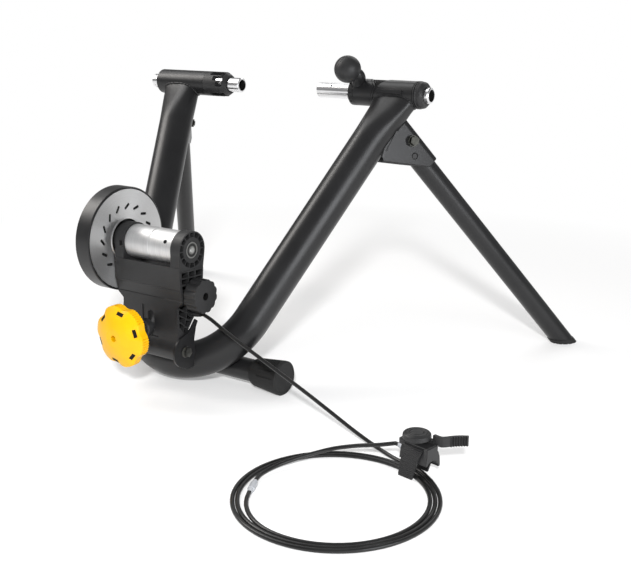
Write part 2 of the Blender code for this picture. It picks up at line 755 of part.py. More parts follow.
def make_sleeves(root):
    bore = ROD_RADIUS + BORE_GAP
    left = pipe("left_axle_sleeve", SLEEVE_RADIUS, bore, -LEFT_SLEEVE_OUTER_X, -LEFT_SLEEVE_INNER_X,
                at_axle(), root, steps=28)
    finish(left, "powder_coat_black")
    finish(cam_tube("right_axle_sleeve", SLEEVE_OUTER_X, 0, root), "powder_coat_black")
    low = SLEEVE_OUTER_X + SEAT_GAP
    high = low + END_CAP_LENGTH
    cap = [(SLEEVE_RADIUS - 0.0035, high), (SLEEVE_RADIUS - 0.0018, high - 0.003),
           (SLEEVE_RADIUS - 0.0018, low + 0.0068), (SLEEVE_RADIUS + 0.0002, low + 0.0060),
           (SLEEVE_RADIUS + 0.0002, low + 0.0012), (SLEEVE_RADIUS - 0.0008, low), (bore, low), (bore, high)]
    finish(turned("right_end_cap", cap, at_axle(), root, hollow=True, steps=18), "plastic_black")


def make_left_clamp(slide, collar):
    """Threaded cone rod and the slotted adjuster collar that turns on it."""
    inner = -LEFT_ROD_INNER_X
    outer = -LEFT_ROD_OUTER_X
    chamfer = 0.0012
    ridges = []
    ridge_pitch = 0.0042
    ridge_count = 3
    for i in range(ridge_count):
        top = outer + 0.0035 + ridge_pitch * (ridge_count - i)
        ridges += [(ROD_RADIUS, top), (ROD_RADIUS - 0.0008, top - 0.0012), (ROD_RADIUS, top - 0.0024)]
    profile = [(0, inner - CUP_DEPTH), (CUP_RADIUS, inner - CUP_DEPTH), (CUP_RADIUS, inner),
               (ROD_RADIUS - chamfer, inner), (ROD_RADIUS, inner - chamfer), *ridges,
               (ROD_RADIUS, outer + chamfer), (ROD_RADIUS - chamfer, outer), (0, outer)]
    finish(turned("left_cone_rod", profile, at_axle(), slide, steps=16), "machined_aluminium")
    low = -LEFT_SLEEVE_INNER_X + SEAT_GAP
    high = -COLLAR_INNER_X
    bore = ROD_RADIUS + BORE_GAP
    shape = [(COLLAR_NOSE_RADIUS - 0.001, high), (COLLAR_NOSE_RADIUS, high - 0.001),
             (SLEEVE_RADIUS, -COLLAR_TAPER_X), (SLEEVE_RADIUS, low), (bore, low), (bore, high)]
    ring = turned("left_adjuster_collar", shape, at_axle(), collar, hollow=True, steps=22)
    windows = []
    for i in range(4):
        turn = Matrix.Rotation(math.radians(45 + 90 * i), 4, "X")
        place = Matrix.Translation((0, 0, AXLE_HEIGHT)) @ turn
        windows.append(box("window", (-COLLAR_TAPER_X - 0.016, -0.0048, 0), (-COLLAR_TAPER_X + 0.005, 0.0048, 0.03),
                           place, collar))
    finish(cut(ring, together("windows", windows, collar)), "plastic_black")


RING_MIDDLE_X = (LEVER_RING_X + CAM_COLLAR_X) / 2
LEVER_PATH = [(Vector((RING_MIDDLE_X + 0.0012, -0.0085, 0.0105)), 0.0070),
              (Vector((RING_MIDDLE_X + 0.0032, -0.0135, 0.0166)), 0.0080),
              (Vector((RING_MIDDLE_X + 0.0050, -0.0176, 0.0216)), 0.0084),
              (Vector((RING_MIDDLE_X + 0.0052, -0.0212, 0.0262)), 0.0074),
              (Vector((RING_MIDDLE_X + 0.0046, -0.0240, 0.0300)), 0.0058)]
BALL_CENTRE = Vector((RING_MIDDLE_X + 0.0018, -0.0276, 0.0339))


def lever_arm(name, grow, parent):
    lift = Vector((0, 0, AXLE_HEIGHT))
    sides = 9
    rings = []
    for i, (point, radius) in enumerate(LEVER_PATH):
        before = LEVER_PATH[max(i - 1, 0)][0]
        after = LEVER_PATH[min(i + 1, len(LEVER_PATH) - 1)][0]
        heading = (after - before).normalized()
        across = heading.cross(Vector((0, 1, 0))).normalized()
        over = heading.cross(across)
        centre = lift + point + heading * (grow if i == len(LEVER_PATH) - 1 else 0)
        rings.append([centre + (across * math.cos(a) + over * math.sin(a)) * (radius + grow)
                      for a in (2 * math.pi * k / sides for k in range(sides))])
    return ringed(name, rings, parent)


def make_right_clamp(slide, lever):
    """Plunger rod that the lever's V cam pushes inward, with its cam collar, lever and ball."""
    inner = RIGHT_ROD_INNER_X
    outer = RIGHT_ROD_OUTER_X
    chamfer = 0.0016
    hole = ROD_END_HOLE_RADIUS
    profile = [(0, outer - 0.012), (hole, outer - 0.012), (hole, outer), (ROD_RADIUS - chamfer, outer),
               (ROD_RADIUS, outer - chamfer), (ROD_RADIUS, inner + chamfer), (ROD_RADIUS - chamfer, inner),
               (CUP_RADIUS, inner), (CUP_RADIUS, inner + CUP_DEPTH), (0, inner + CUP_DEPTH)]
    plunger = turned("right_plunger_rod", profile, at_axle(), slide, steps=16)
    pin_place = Matrix.Translation((inner + 0.026, 0, AXLE_HEIGHT)) @ Matrix.Rotation(math.radians(35), 4, "X")
    pin = rod("pin_hole", 0.0016, 0.006, 0.02, pin_place, slide, steps=8)
    finish(cut(plunger, pin), "machined_aluminium")

    collar = cam_tube("right_cam_collar", CAM_COLLAR_X, -BORE_GAP, lever)
    finish(collar, "powder_coat_black")

    bore = ROD_RADIUS + BORE_GAP
    high = CAM_COLLAR_X - SEAT_GAP
    ring_profile = [(SLEEVE_RADIUS, high), (SLEEVE_RADIUS, LEVER_RING_X + 0.0015),
                    (SLEEVE_RADIUS - 0.0015, LEVER_RING_X), (bore, LEVER_RING_X), (bore, high)]
    ring = turned("clamp_lever", ring_profile, at_axle(), lever, hollow=True, steps=24)
    slits = []
    for i in range(9):
        place = Matrix.Translation((0, 0, AXLE_HEIGHT)) @ Matrix.Rotation(math.radians(40 * i + 10), 4, "X")
        slits.append(box("slit", (LEVER_RING_X - 0.001, -0.0008, SLEEVE_RADIUS - 0.0024),
                         (LEVER_RING_X + 0.006, 0.0008, SLEEVE_RADIUS + 0.002), place, lever))
    cut(ring, together("slits", slits, lever))
    arm = lever_arm("arm", 0, lever)
    keep = rod("collar_room", SLEEVE_RADIUS + SEAT_GAP, high - 0.0001, CAM_NOTCH_X, at_axle(), lever,
               steps=28)
    inside = rod("rod_room", bore + 0.003, LEVER_RING_X - 0.02, CAM_NOTCH_X, at_axle(), lever, steps=28)
    cut(arm, keep, inside)
    finish(join(ring, arm), "powder_coat_black")

    place = Matrix.Translation(BALL_CENTRE + Vector((0, 0, AXLE_HEIGHT)))
    bm = bmesh.new()
    bmesh.ops.create_uvsphere(bm, u_segments=16, v_segments=10, radius=BALL_RADIUS)
    ball = from_bmesh("ball_knob", bm, place, lever)
    finish(cut(ball, lever_arm("arm_room", SEAT_GAP, lever)), "plastic_black")


# Pivot bracket on the bend

TAB_FRONT = 23.0


def make_pivot_bracket(root):
    """Sheet channel on the bend: two ears with rounded pivots and pointed fins, and a web with a tab."""
    inner = HOUSING_LOW_HALF_WIDTH + EAR_GAP
    ears = []
    edge = EAR_RADIUS / 22
    fin = [(27.6, 37.4), (23.4, 40.8), (14.8, 31.1), (7.1, 24.9)]
    foot = [(2.0, -26.0), (31.0, -26.0), (20.5, -4.0), (18.8, 12.0), (23.5, 30.0)]
    outline = [(PIVOT_Y + y * edge, PIVOT_Z + z * edge) for y, z in fin]
    outline += arc((PIVOT_Y, PIVOT_Z), EAR_RADIUS, 100, 235, 8)
    outline += [(PIVOT_Y + y * edge, PIVOT_Z + z * edge) for y, z in foot]
    for side in (-1, 1):
        centre = side * (inner + EAR_SHEET / 2)
        ears.append(plate("ear", outline, EAR_SHEET, side_plane(centre), root,
                          holes=[circle((PIVOT_Y, PIVOT_Z), PIVOT_BOLT_RADIUS + BORE_GAP)]))
    web_outline = [(PIVOT_Y + y * edge, PIVOT_Z + z * edge)
                   for y, z in ((18.8, 12.0), (21.8, 12.0), (24.5, -26.0), (21.5, -26.0))]
    web = plate("pivot_bracket", web_outline, 2 * inner + 0.001, side_plane(), root)
    tab = box("tab", (-2.75 * BOLT_RADIUS, PIVOT_Y + 18.8 * edge, PIVOT_Z + 4 * edge),
              (2.75 * BOLT_RADIUS, PIVOT_Y + TAB_FRONT * edge, BOLT_Z + 2.5 * BOLT_RADIUS), Matrix(), root)
    join(web, *ears, tab)
    bolt_hole = rod("bolt_hole", BOLT_RADIUS + SEAT_GAP, -0.02, 0.04, along_rear(0, PIVOT_Y + 0.02, BOLT_Z),
                    root)
    finish(cut(web, frame_clearance(root), bolt_hole), "powder_coat_black")


def make_pivot_bolt(root):
    half_grip = HOUSING_LOW_HALF_WIDTH + EAR_GAP + EAR_SHEET + SEAT_GAP
    through_bolt("pivot_bolt", PIVOT_BOLT_RADIUS, half_grip, 1.7 * PIVOT_BOLT_RADIUS, along_x(0, PIVOT_Y, PIVOT_Z), root)


# Resistance unit housing

FRONT_EDGE = [(PIVOT_Z + z, PIVOT_Y + y) for z, y in ((0.002, 0.0145), (0.016, 0.0128), (0.028, 0.0120),
                                                    (0.045, 0.0260), (0.078, 0.0320), (0.110, 0.0355))]


def front_y(z):
    """Y of the housing's front edge at a height."""
    if z <= FRONT_EDGE[0][0]:
        return FRONT_EDGE[0][1]
    for (low, y_low), (high, y_high) in zip(FRONT_EDGE, FRONT_EDGE[1:]):
        if z <= high:
            return blend(y_low, y_high, (z - low) / (high - low))
    return FRONT_EDGE[-1][1]


def rear_y(z):
    """Y of the housing's rear face at a height: a flat upper block, a slope and a lower part set back."""
    share = (HOUSING_CREASE_Z - z) / (HOUSING_CREASE_Z - HOUSING_LOW_TOP_Z)
    return blend(HOUSING_REAR_Y, HOUSING_LOW_REAR_Y, min(max(share, 0), 1))


def pocket(low, high, rear_share, front_share, inner, half_width, side, fall, unit):
    """One cored cell between two curved ribs, cut in from one side; the ribs fall toward the front."""
    points = []
    count = 3
    for level, order in ((low, range(count)), (high, reversed(range(count)))):
        for i in order:
            share = blend(rear_share, front_share, i / (count - 1))
            z = level - fall * math.sin(math.pi / 2 * share)
            y = blend(rear_y(z) + HOUSING_WALL, front_y(z) - 0.7 * HOUSING_WALL, share)
            points.append((y, z))
    depth = half_width + 0.002 - inner
    centre = side * (inner + depth / 2)
    return plate("pocket", points, depth, side_plane(centre), unit)


def housing_pockets(unit):
    """Rows of cells: (low, high, rib fall, columns, innermost X, half width, both sides)."""
    core = CAVITY_HALF_WIDTH + HOUSING_WALL
    shallow = YOKE_INNER_X + 0.0040
    low_half = HOUSING_LOW_HALF_WIDTH
    rows = [(PIVOT_Z + 0.0350 + 0.0092 * i, PIVOT_Z + 0.0420 + 0.0092 * i, RIB_FALL, 2, core, low_half, True)
            for i in range(4)]
    rows += [(PIVOT_Z + 0.0735, PIVOT_Z + 0.0950, 0.002, 2, core, HOUSING_HALF_WIDTH, True),
             (PIVOT_Z + 0.0978, PIVOT_Z + 0.1045, 0.002, 3, shallow, HOUSING_HALF_WIDTH, False),
             (PIVOT_Z + 0.1067, PIVOT_Z + 0.1134, 0.002, 3, shallow, HOUSING_HALF_WIDTH, False)]
    cells = []
    gap = RIB_SHEET / 2 / 0.036
    for low, high, fall, columns, inner, half_width, both in rows:
        for side in (-1, 1) if both else (1,):
            for i in range(columns):
                start = i / columns + (gap if i else 0)
                end = (i + 1) / columns - (gap if i < columns - 1 else 0)
                cells.append(pocket(low, high, start, end, inner, half_width, side, fall, unit))
    return together("pockets", cells, unit)


def ring_cells(unit, side):
    """Shallow cells between radial ribs round the yoke ring's outer face."""
    cells = []
    count = RING_CELL_COUNT
    inner = YOKE_RING_RADIUS - 0.0070
    outer = YOKE_RING_RADIUS - 0.0020
    spread = math.degrees(math.pi / count) - 3.2
    for i in range(count):
        middle = 360 * (i + 0.4) / count
        outline = (arc((ROLLER_Y, ROLLER_Z), outer, middle - spread, middle + spread, 3)
                   + arc((ROLLER_Y, ROLLER_Z), inner, middle + spread, middle - spread, 3))
        cells.append(plate("cell", outline, 0.012, side_plane(side * YOKE_OUTER_X), unit))
    return cells


def make_housing(unit):
    """Cored yoke: rear wall, ribbed sides, cavity for the tension bolt, pivot barrel and bearing rings."""
    rear = HOUSING_REAR_Y
    low_rear = HOUSING_LOW_REAR_Y
    arm_foot = PIVOT_Z + 0.098
    yoke_floor = FRONT_EDGE[-1][0]
    barrel = (PIVOT_Y, PIVOT_Z)
    front = [(y, z) for z, y in reversed(FRONT_EDGE)]
    outline = [(FRONT_EDGE[-1][1], HOUSING_TOP_Z), (rear, HOUSING_TOP_Z), (rear, HOUSING_CREASE_Z),
               (low_rear, HOUSING_LOW_TOP_Z), (low_rear, PIVOT_Z + PIVOT_BARREL_RADIUS),
               *arc(barrel, PIVOT_BARREL_RADIUS, 150, 360, 8), *reversed(front)]
    body = plate("unit_housing", outline, 2 * HOUSING_HALF_WIDTH, side_plane(), unit)
    outside = HOUSING_HALF_WIDTH + 0.01
    slope = HOUSING_STEP_HEIGHT / (HOUSING_HALF_WIDTH - HOUSING_LOW_HALF_WIDTH)
    for side in (-1, 1):
        low = side * HOUSING_LOW_HALF_WIDTH
        high = side * outside
        steps = [(low, -0.1), (high, -0.1), (high, HOUSING_STEP_Z + slope * (outside - abs(low))),
                 (low, HOUSING_STEP_Z)]
        cut(body, plate("side_step", steps, 0.2, along_rear(0, PIVOT_Y, 0), unit))
    arms = []
    width = YOKE_WIDTH
    for side in (-1, 1):
        arm = [*arc((ROLLER_Y, ROLLER_Z), YOKE_RING_RADIUS, -10, 190, 15), (rear + 0.0002, arm_foot + 0.016),
               (rear + 0.0002, arm_foot), (front_y(arm_foot), arm_foot), (front_y(yoke_floor), yoke_floor)]
        arms.append(plate("arm", arm, width, side_plane(side * (YOKE_INNER_X + width / 2)), unit))
    between = rod("roller_room", ROLLER_RADIUS + 0.0018, -YOKE_INNER_X, YOKE_INNER_X, at_roller(), unit,
                  steps=28)
    above = box("yoke_room", (-YOKE_INNER_X, rear + HOUSING_WALL, yoke_floor),
                (YOKE_INNER_X, ROLLER_Y + 0.05, ROLLER_Z), Matrix(), unit)
    over_arms = [box("arm_side", (side * YOKE_OUTER_X, ROLLER_Y - 0.05, yoke_floor + 0.004),
                     (side * outside, ROLLER_Y + 0.05, ROLLER_Z), Matrix(), unit) for side in (-1, 1)]
    cut(body, between, above, *over_arms)
    join(body, *arms)
    cavity_low = BOLT_Z - 0.0135
    cavity = box("cavity", (-CAVITY_HALF_WIDTH, low_rear + HOUSING_WALL + 0.0005, cavity_low),
                 (CAVITY_HALF_WIDTH, PIVOT_Y + 0.06, yoke_floor - 0.006), Matrix(), unit)
    slot = [(SLOT_HALF_WIDTH * math.cos(a), BOLT_Z + 0.0160 + SLOT_HALF_WIDTH * math.sin(a))
            for a in (math.pi * i / 5 for i in range(6))]
    slot += [(SLOT_HALF_WIDTH * math.cos(a), BOLT_Z - 0.0040 + SLOT_HALF_WIDTH * math.sin(a))
             for a in (math.pi + math.pi * i / 5 for i in range(6))]
    opening = plate("slot", slot, 0.03, along_rear(0, low_rear, 0), unit)
    recess = box("recess", (-0.0145, low_rear - 0.001, BOLT_Z - 0.0145),
                 (0.0140, low_rear + RECESS_DEPTH, BOLT_Z + 0.0290), Matrix(), unit)
    cut(body, housing_pockets(unit), cavity, opening, recess)
    boss = rod("boss", 0.0095, CAVITY_HALF_WIDTH + 0.001, HOUSING_HALF_WIDTH,
               along_x(0, SIDE_KNOB_Y, SIDE_KNOB_Z), unit)
    gland_boss = rod("gland_boss", GLAND_RADIUS + 0.002, CAVITY_HALF_WIDTH + 0.001, HOUSING_LOW_HALF_WIDTH,
                     along_x(0, GLAND_Y, GLAND_Z), unit)
    barrel_half = HOUSING_LOW_HALF_WIDTH + EAR_GAP - SEAT_GAP
    barrel_rod = rod("barrel", PIVOT_BARREL_RADIUS, -barrel_half, barrel_half, along_x(0, PIVOT_Y, PIVOT_Z),
                     unit, steps=22)
    join(body, boss, gland_boss, barrel_rod)
    bores = [rod("pivot_bore", PIVOT_BOLT_RADIUS + BORE_GAP, -outside, outside, along_x(0, PIVOT_Y, PIVOT_Z),
                 unit),
             rod("knob_bore", SIDE_BOLT_RADIUS + BORE_GAP, HOUSING_HALF_WIDTH / 2, outside,
                 along_x(0, SIDE_KNOB_Y, SIDE_KNOB_Z), unit, steps=16),
             rod("shaft_bore", SHAFT_RADIUS + 0.0030, -outside, outside, at_roller(), unit)]
    for side in (-1, 1):
        seat = YOKE_OUTER_X - BEARING_WIDTH - SEAT_GAP
        ends = sorted((side * seat, side * outside))
        bores.append(rod("bearing_seat", BEARING_RADIUS + SEAT_GAP, ends[0], ends[1], at_roller(), unit))
    cells = together("ring_cells", ring_cells(unit, 1), unit)
    notch = box("notch", (-YOKE_INNER_X - 0.0072, rear - 0.002, ROLLER_Z - 0.0030),
                (-YOKE_INNER_X - 0.0012, rear + 0.005, ROLLER_Z + 0.0040), Matrix(), unit)
    finish(cut(body, *bores, cells, notch), "plastic_black")


# Roller, bearings and flywheel

def make_roller(spin, unit):
    half = YOKE_INNER_X - RUNNING_GAP
    bore = SHAFT_RADIUS + SEAT_GAP
    groove = 0.0006
    end = [(0.0120, half), (0.0120, half - 0.008), (0.0205, half - 0.008), (0.0205, half)]
    profile = [(bore, half), *end, (ROLLER_RADIUS, half), (ROLLER_RADIUS, groove),
               (ROLLER_RADIUS - groove, 0), (ROLLER_RADIUS, -groove), (ROLLER_RADIUS, -half),
               *[(r, -z) for r, z in reversed(end)], (bore, -half)]
    drum = turned("roller_drum", profile, at_roller(), spin, hollow=True, steps=22)
    hole_place = (Matrix.Translation((0.71 * half, ROLLER_Y, ROLLER_Z))
                  @ Matrix.Rotation(math.radians(60), 4, "X"))
    screw_hole = rod("screw_hole", 0.0029, ROLLER_RADIUS - 0.004, ROLLER_RADIUS + 0.002, hole_place, spin,
                     steps=8)
    finish(cut(drum, screw_hole), "machined_aluminium")

    shaft = [(0, SHAFT_RIGHT_X), (SHAFT_RADIUS - 0.0006, SHAFT_RIGHT_X),
             (SHAFT_RADIUS, SHAFT_RIGHT_X - 0.0006), (SHAFT_RADIUS, SHAFT_LEFT_X + 0.0006),
             (SHAFT_RADIUS - 0.0006, SHAFT_LEFT_X), (0, SHAFT_LEFT_X)]
    finish(turned("roller_shaft", shaft, at_roller(), spin, steps=14), "zinc_steel")

    for side, name in ((-1, "bearing_left"), (1, "bearing_right")):
        low, high = sorted((side * YOKE_OUTER_X, side * (YOKE_OUTER_X - BEARING_WIDTH)))
        race = 0.0018
        lip = 0.0004
        outer = BEARING_RADIUS
        inner = SHAFT_RADIUS + SEAT_GAP
        face = [(inner, high), (inner + race, high - lip), (outer - race, high - lip), (outer, high)]
        back = [(r, low + high - z) for r, z in reversed(face)]
        finish(turned(name, face + back, at_roller(), unit, hollow=True, steps=14), "zinc_steel")


def make_flywheel(spin):
    """Black cup with its end wall on the shaft and a silver vented disc pressed in its mouth."""
    face = FLYWHEEL_FACE_X
    end = face - FLYWHEEL_WIDTH
    seat = FLYWHEEL_RADIUS - FLYWHEEL_RIM_WALL
    bore = SHAFT_RADIUS + SEAT_GAP
    wall_in = end + FLYWHEEL_END_WALL
    boss = 0.0100
    rim = [(seat, face), (FLYWHEEL_RADIUS - 0.0012, face), (FLYWHEEL_RADIUS, face - 0.0012),
           (FLYWHEEL_RADIUS, end + 0.002), (FLYWHEEL_RADIUS - 0.002, end), (bore, end),
           (bore, wall_in + 0.003), (boss, wall_in + 0.003), (boss, wall_in), (seat, wall_in)]
    finish(turned("flywheel_rim", rim, at_roller(), spin, hollow=True, steps=36), "powder_coat_black")

    disc_radius = seat - SEAT_GAP
    disc = pipe("flywheel_face", disc_radius, FACE_BORE_RADIUS, face - FACE_THICKNESS, face, at_roller(),
                spin, steps=36)
    vents = []
    for i in range(VENT_COUNT):
        turn = Matrix.Rotation(2 * math.pi * i / VENT_COUNT + VENT_PHASE, 4, "Z")
        out = Matrix.Translation((VENT_RADIUS, 0, face)) @ Matrix.Rotation(VENT_SLANT, 4, "Z")
        half = VENT_LENGTH / 2 - VENT_WIDTH / 2
        outline = (arc((half, 0), VENT_WIDTH / 2, -60, 60, 2) + arc((-half, 0), VENT_WIDTH / 2, 120, 240, 2))
        vents.append(plate("vent", outline, 0.02, at_roller() @ turn @ out, spin))
    finish(cut(disc, together("vents", vents, spin)), "machined_aluminium")

    nut_high = end - SEAT_GAP
    nut = rod("flywheel_nut", 0.0072, nut_high - 0.0042, nut_high, at_roller(), spin, steps=6)
    nut_bore = rod("nut_bore", bore, nut_high - 0.01, nut_high + 0.01, at_roller(), spin)
    finish(cut(nut, nut_bore), "zinc_steel")


def make_magnets(unit, turn_parent):
    """Fixed hub on the yoke, the carrier that turns on it, and its ring of magnets behind the disc."""
    behind = FLYWHEEL_FACE_X - FACE_THICKNESS
    magnet_front = behind - MAGNET_GAP
    magnet_back = magnet_front - MAGNET_THICKNESS
    carrier_front = magnet_back - KEEPER_THICKNESS - SEAT_GAP
    carrier_back = carrier_front - CARRIER_THICKNESS
    flange_front = carrier_back - SEAT_GAP
    flange_back = flange_front - 0.0020
    start = -YOKE_OUTER_X - SEAT_GAP
    bore = SHAFT_RADIUS + 0.0030
    hub = [(HUB_RADIUS, start), (HUB_RADIUS, flange_front), (HUB_RADIUS + 0.0030, flange_front),
           (HUB_RADIUS + 0.0030, flange_back), (bore, flange_back), (bore, start)]
    finish(turned("magnet_hub", hub, at_roller(), unit, hollow=True, steps=18), "plastic_black")
    finish(pipe("magnet_carrier", CARRIER_RADIUS, HUB_RADIUS + SEAT_GAP, carrier_back, carrier_front,
                at_roller(), turn_parent, steps=28), "powder_coat_black")
    keeper_half = MAGNET_RADIUS + 0.0015
    keeper = pipe("magnets", MAGNET_CIRCLE + keeper_half, MAGNET_CIRCLE - keeper_half,
                  magnet_back - KEEPER_THICKNESS, magnet_back, at_roller(), turn_parent, steps=24)
    magnets = []
    for i in range(MAGNET_COUNT):
        turn = Matrix.Rotation(2 * math.pi * i / MAGNET_COUNT, 4, "Z")
        shift = Matrix.Translation((MAGNET_CIRCLE, 0, 0))
        magnets.append(rod("magnet", MAGNET_RADIUS, magnet_back - KEEPER_THICKNESS / 2, magnet_front,
                           at_roller() @ turn @ shift, turn_parent, steps=7))
    finish(join(keeper, together("magnet_discs", magnets, turn_parent)), "magnet_nickel")


# Side knob and cable gland

def make_side_knob(unit, knob_parent):
    axis = along_x(0, SIDE_KNOB_Y, SIDE_KNOB_Z)
    flange = HOUSING_HALF_WIDTH + SEAT_GAP
    knob_start = flange + 0.0018 + SEAT_GAP
    outline = []
    per_flute = 3
    for i in range(SIDE_KNOB_FLUTES * per_flute):
        a = 2 * math.pi * i / (SIDE_KNOB_FLUTES * per_flute)
        dip = 0.5 - 0.5 * math.cos(SIDE_KNOB_FLUTES * a)
        radius = SIDE_KNOB_RADIUS - SIDE_KNOB_FLUTE_DEPTH * (1 - dip ** 0.5)
        outline.append((radius * math.cos(a), radius * math.sin(a)))
    shift = Matrix.Translation((0, 0, knob_start + SIDE_KNOB_LENGTH / 2))
    knob = plate("side_knob", outline, SIDE_KNOB_LENGTH, axis @ shift, knob_parent)
    round_edges(knob, 0.0010, segments=1, angle=60)
    hole = rod("hole", SIDE_BOLT_RADIUS + BORE_GAP, 0, 0.1, axis, knob_parent, steps=20)
    end = knob_start + SIDE_KNOB_LENGTH - 0.008
    mouth = rod("mouth", SIDE_KNOB_HOLE_RADIUS, end, knob_start + 2 * SIDE_KNOB_LENGTH, axis, knob_parent)
    finish(cut(knob, hole, mouth), "plastic_black")

    bolt = rod("side_knob_bolt", SIDE_BOLT_RADIUS, HOUSING_HALF_WIDTH / 2 + 0.0005, end - 0.001, axis, unit, steps=20)
    washer = rod("washer", 0.0135, flange, flange + 0.0018, axis, unit)
    finish(join(bolt, washer), "zinc_steel")


def make_gland(unit):
    """Stepped strain relief with a hex foot where the cable leaves the housing."""
    low = HOUSING_LOW_HALF_WIDTH + SEAT_GAP
    high = GLAND_END_X
    profile = [(0, high), (GLAND_RADIUS - 0.0014, high), (GLAND_RADIUS, low + 0.008), (GLAND_RADIUS, low),
               (0, low)]
    place = along_x(0, GLAND_Y, GLAND_Z)
    gland = turned("cable_gland", profile, place, unit, steps=20)
    foot = rod("foot", GLAND_RADIUS + 0.0012, low, low + 0.004, place, unit, steps=6)
    finish(join(gland, foot), "plastic_black")


# Tension bolt and knob

def make_tension(root, slide, turn_parent):
    axis = along_rear(0, 0, BOLT_Z)
    tab_front = -PIVOT_Y - TAB_FRONT * EAR_RADIUS / 22 - SEAT_GAP
    bolt = rod("tension_bolt", BOLT_RADIUS, tab_front - 0.001, -BOLT_REAR_Y, axis, root, steps=20)
    head = rod("head", 0.0072, tab_front - 0.0055, tab_front, axis, root, steps=6)
    finish(join(bolt, head), "zinc_steel")

    bore = BOLT_RADIUS + BORE_GAP
    nose = -HOUSING_LOW_REAR_Y - RECESS_DEPTH + SEAT_GAP
    cup = -HOUSING_REAR_Y + 0.004
    stem = -KNOB_BASE_Y + 0.0015
    end = stem + 0.012
    core = [(bore, end), (CORE_STEM_RADIUS, end), (CORE_STEM_RADIUS, stem), (CORE_RADIUS, stem),
            (CORE_RADIUS, stem - 0.006), (CORE_RADIUS - 0.0015, stem - 0.008),
            (CORE_RADIUS - 0.0015, cup + 0.010), (CORE_RADIUS, cup + 0.008), (CORE_RADIUS, cup),
            (CORE_NOSE_RADIUS, cup), (CORE_NOSE_RADIUS, nose), (bore, nose)]
    finish(turned("tension_knob_core", core, axis, slide, hollow=True, steps=16), "plastic_black")

    rear = -KNOB_REAR_Y
    rim = -KNOB_RIM_Y
    base = -KNOB_BASE_Y
    rise = rear - rim
    wall = KNOB_WALL
    sleeve = CORE_STEM_RADIUS + BORE_GAP
    deep = end + 0.001
    # Radius, height and scallop depth down the outside, then back up the inside
    profile = [(bore, rear, 0), (0.28 * KNOB_RADIUS, rear, 0), (0.36 * KNOB_RADIUS, rear - 0.05 * rise, 0),
               (0.58 * KNOB_RADIUS, rear - 0.26 * rise, 0.1 * KNOB_SCALLOP),
               (0.78 * KNOB_RADIUS, rear - 0.55 * rise, 0.4 * KNOB_SCALLOP),
               (0.92 * KNOB_RADIUS, rear - 0.82 * rise, 0.8 * KNOB_SCALLOP),
               (KNOB_RADIUS, rim, KNOB_SCALLOP), (KNOB_RADIUS, base, KNOB_SCALLOP),
               (KNOB_RADIUS - wall, base, KNOB_SCALLOP), (KNOB_RADIUS - wall, rim, KNOB_SCALLOP),
               (0.78 * KNOB_RADIUS, rim - 0.02 * rise, 0.5 * KNOB_SCALLOP),
               (0.56 * KNOB_RADIUS, rear - 0.62 * rise, 0.2 * KNOB_SCALLOP),
               (CORE_RADIUS + 0.003, rim, 0), (CORE_RADIUS, stem + SEAT_GAP, 0),
               (sleeve, stem + SEAT_GAP, 0), (sleeve, deep, 0), (bore, deep, 0)]
    per_lobe = 5
    rings = []
    for radius, height, scallop in profile:
        ring = []
        for i in range(KNOB_LOBES * per_lobe):
            a = 2 * math.pi * i / (KNOB_LOBES * per_lobe)
            dip = (0.5 + 0.5 * math.cos(KNOB_LOBES * a)) ** 1.6
            r = radius - scallop * dip
            ring.append((r * math.cos(a), r * math.sin(a), height))
        rings.append(ring)
    turned_axis = axis @ Matrix.Rotation(KNOB_PHASE, 4, "Z")
    knob = ringed("tension_knob", rings, turn_parent, matrix=turned_axis, closed=True)
    slots = []
    for i in range(KNOB_LOBES):
        turn = Matrix.Rotation(2 * math.pi * i / KNOB_LOBES, 4, "Z")
        tilt = (Matrix.Translation((0.79 * KNOB_RADIUS, 0, rear - 0.66 * rise))
                @ Matrix.Rotation(math.radians(25), 4, "Y"))
        slots.append(box("slot", (-0.0021, -0.0051, -0.010), (0.0021, 0.0051, 0.010),
                         turned_axis @ turn @ tilt, turn_parent))
    finish(cut(knob, together("slots", slots, turn_parent)), "plastic_yellow")


# Remote shifter

def remote_place(x=0, y=0, z=0):
    base = Matrix.Translation((REMOTE_X, REMOTE_Y, 0)) @ Matrix.Rotation(REMOTE_YAW, 4, "Z")
    return base @ Matrix.Translation((x, y, z))


def strap_path():
    """Middle line (y, z) of the strap: up the front from the floor, over the saddle and down the back."""
    low = REMOTE_BLOCK_TOP - 0.0027
    front = [(-0.0136, 0.0009), (-0.0137, 0.0080), (-0.0133, 0.0150), (-0.0124, 0.0220), (-0.0112, 0.0290),
             (-0.0098, low - 0.0049), (-0.0076, low - 0.0014), (-0.0045, low)]
    back = [(0.0045, low), (0.0085, low - 0.0015), (0.0120, low - 0.0054), (0.0148, 0.0270), (0.0156, 0.0200),
            (0.0156, 0.0120)]
    return front + back


def beside(path, offset):
    """A path moved sideways by an offset, to the left of its direction."""
    moved = []
    for i, point in enumerate(path):
        before = Vector(path[max(0, i - 1)])
        after = Vector(path[min(len(path) - 1, i + 1)])
        along = (after - before).normalized()
        moved.append((point[0] - along.y * offset, point[1] + along.x * offset))
    return moved


def make_strap(root):
    """Band that hangs open from the saddle, wide on top and narrower where it stands on the floor."""
    path = strap_path()
    outer = beside(path, STRAP_THICKNESS / 2)
    inner = beside(path, -STRAP_THICKNESS / 2)
    top = path[7][1]
    rings = []
    for i, (y, z) in enumerate(path):
        share = z / top if i < 7 else 1
        right = SADDLE_RIGHT_X - STRAP_GAP - STRAP_LEAN * (1 - share) - STRAP_GAP * (1 - share)
        left = right - blend(STRAP_LOW_WIDTH, STRAP_WIDTH, share)
        rings.append([(left, *outer[i]), (right, *outer[i]), (right, *inner[i]), (left, *inner[i])])
    finish(ringed("shifter_strap", rings, root, matrix=remote_place()), "webbing_black")


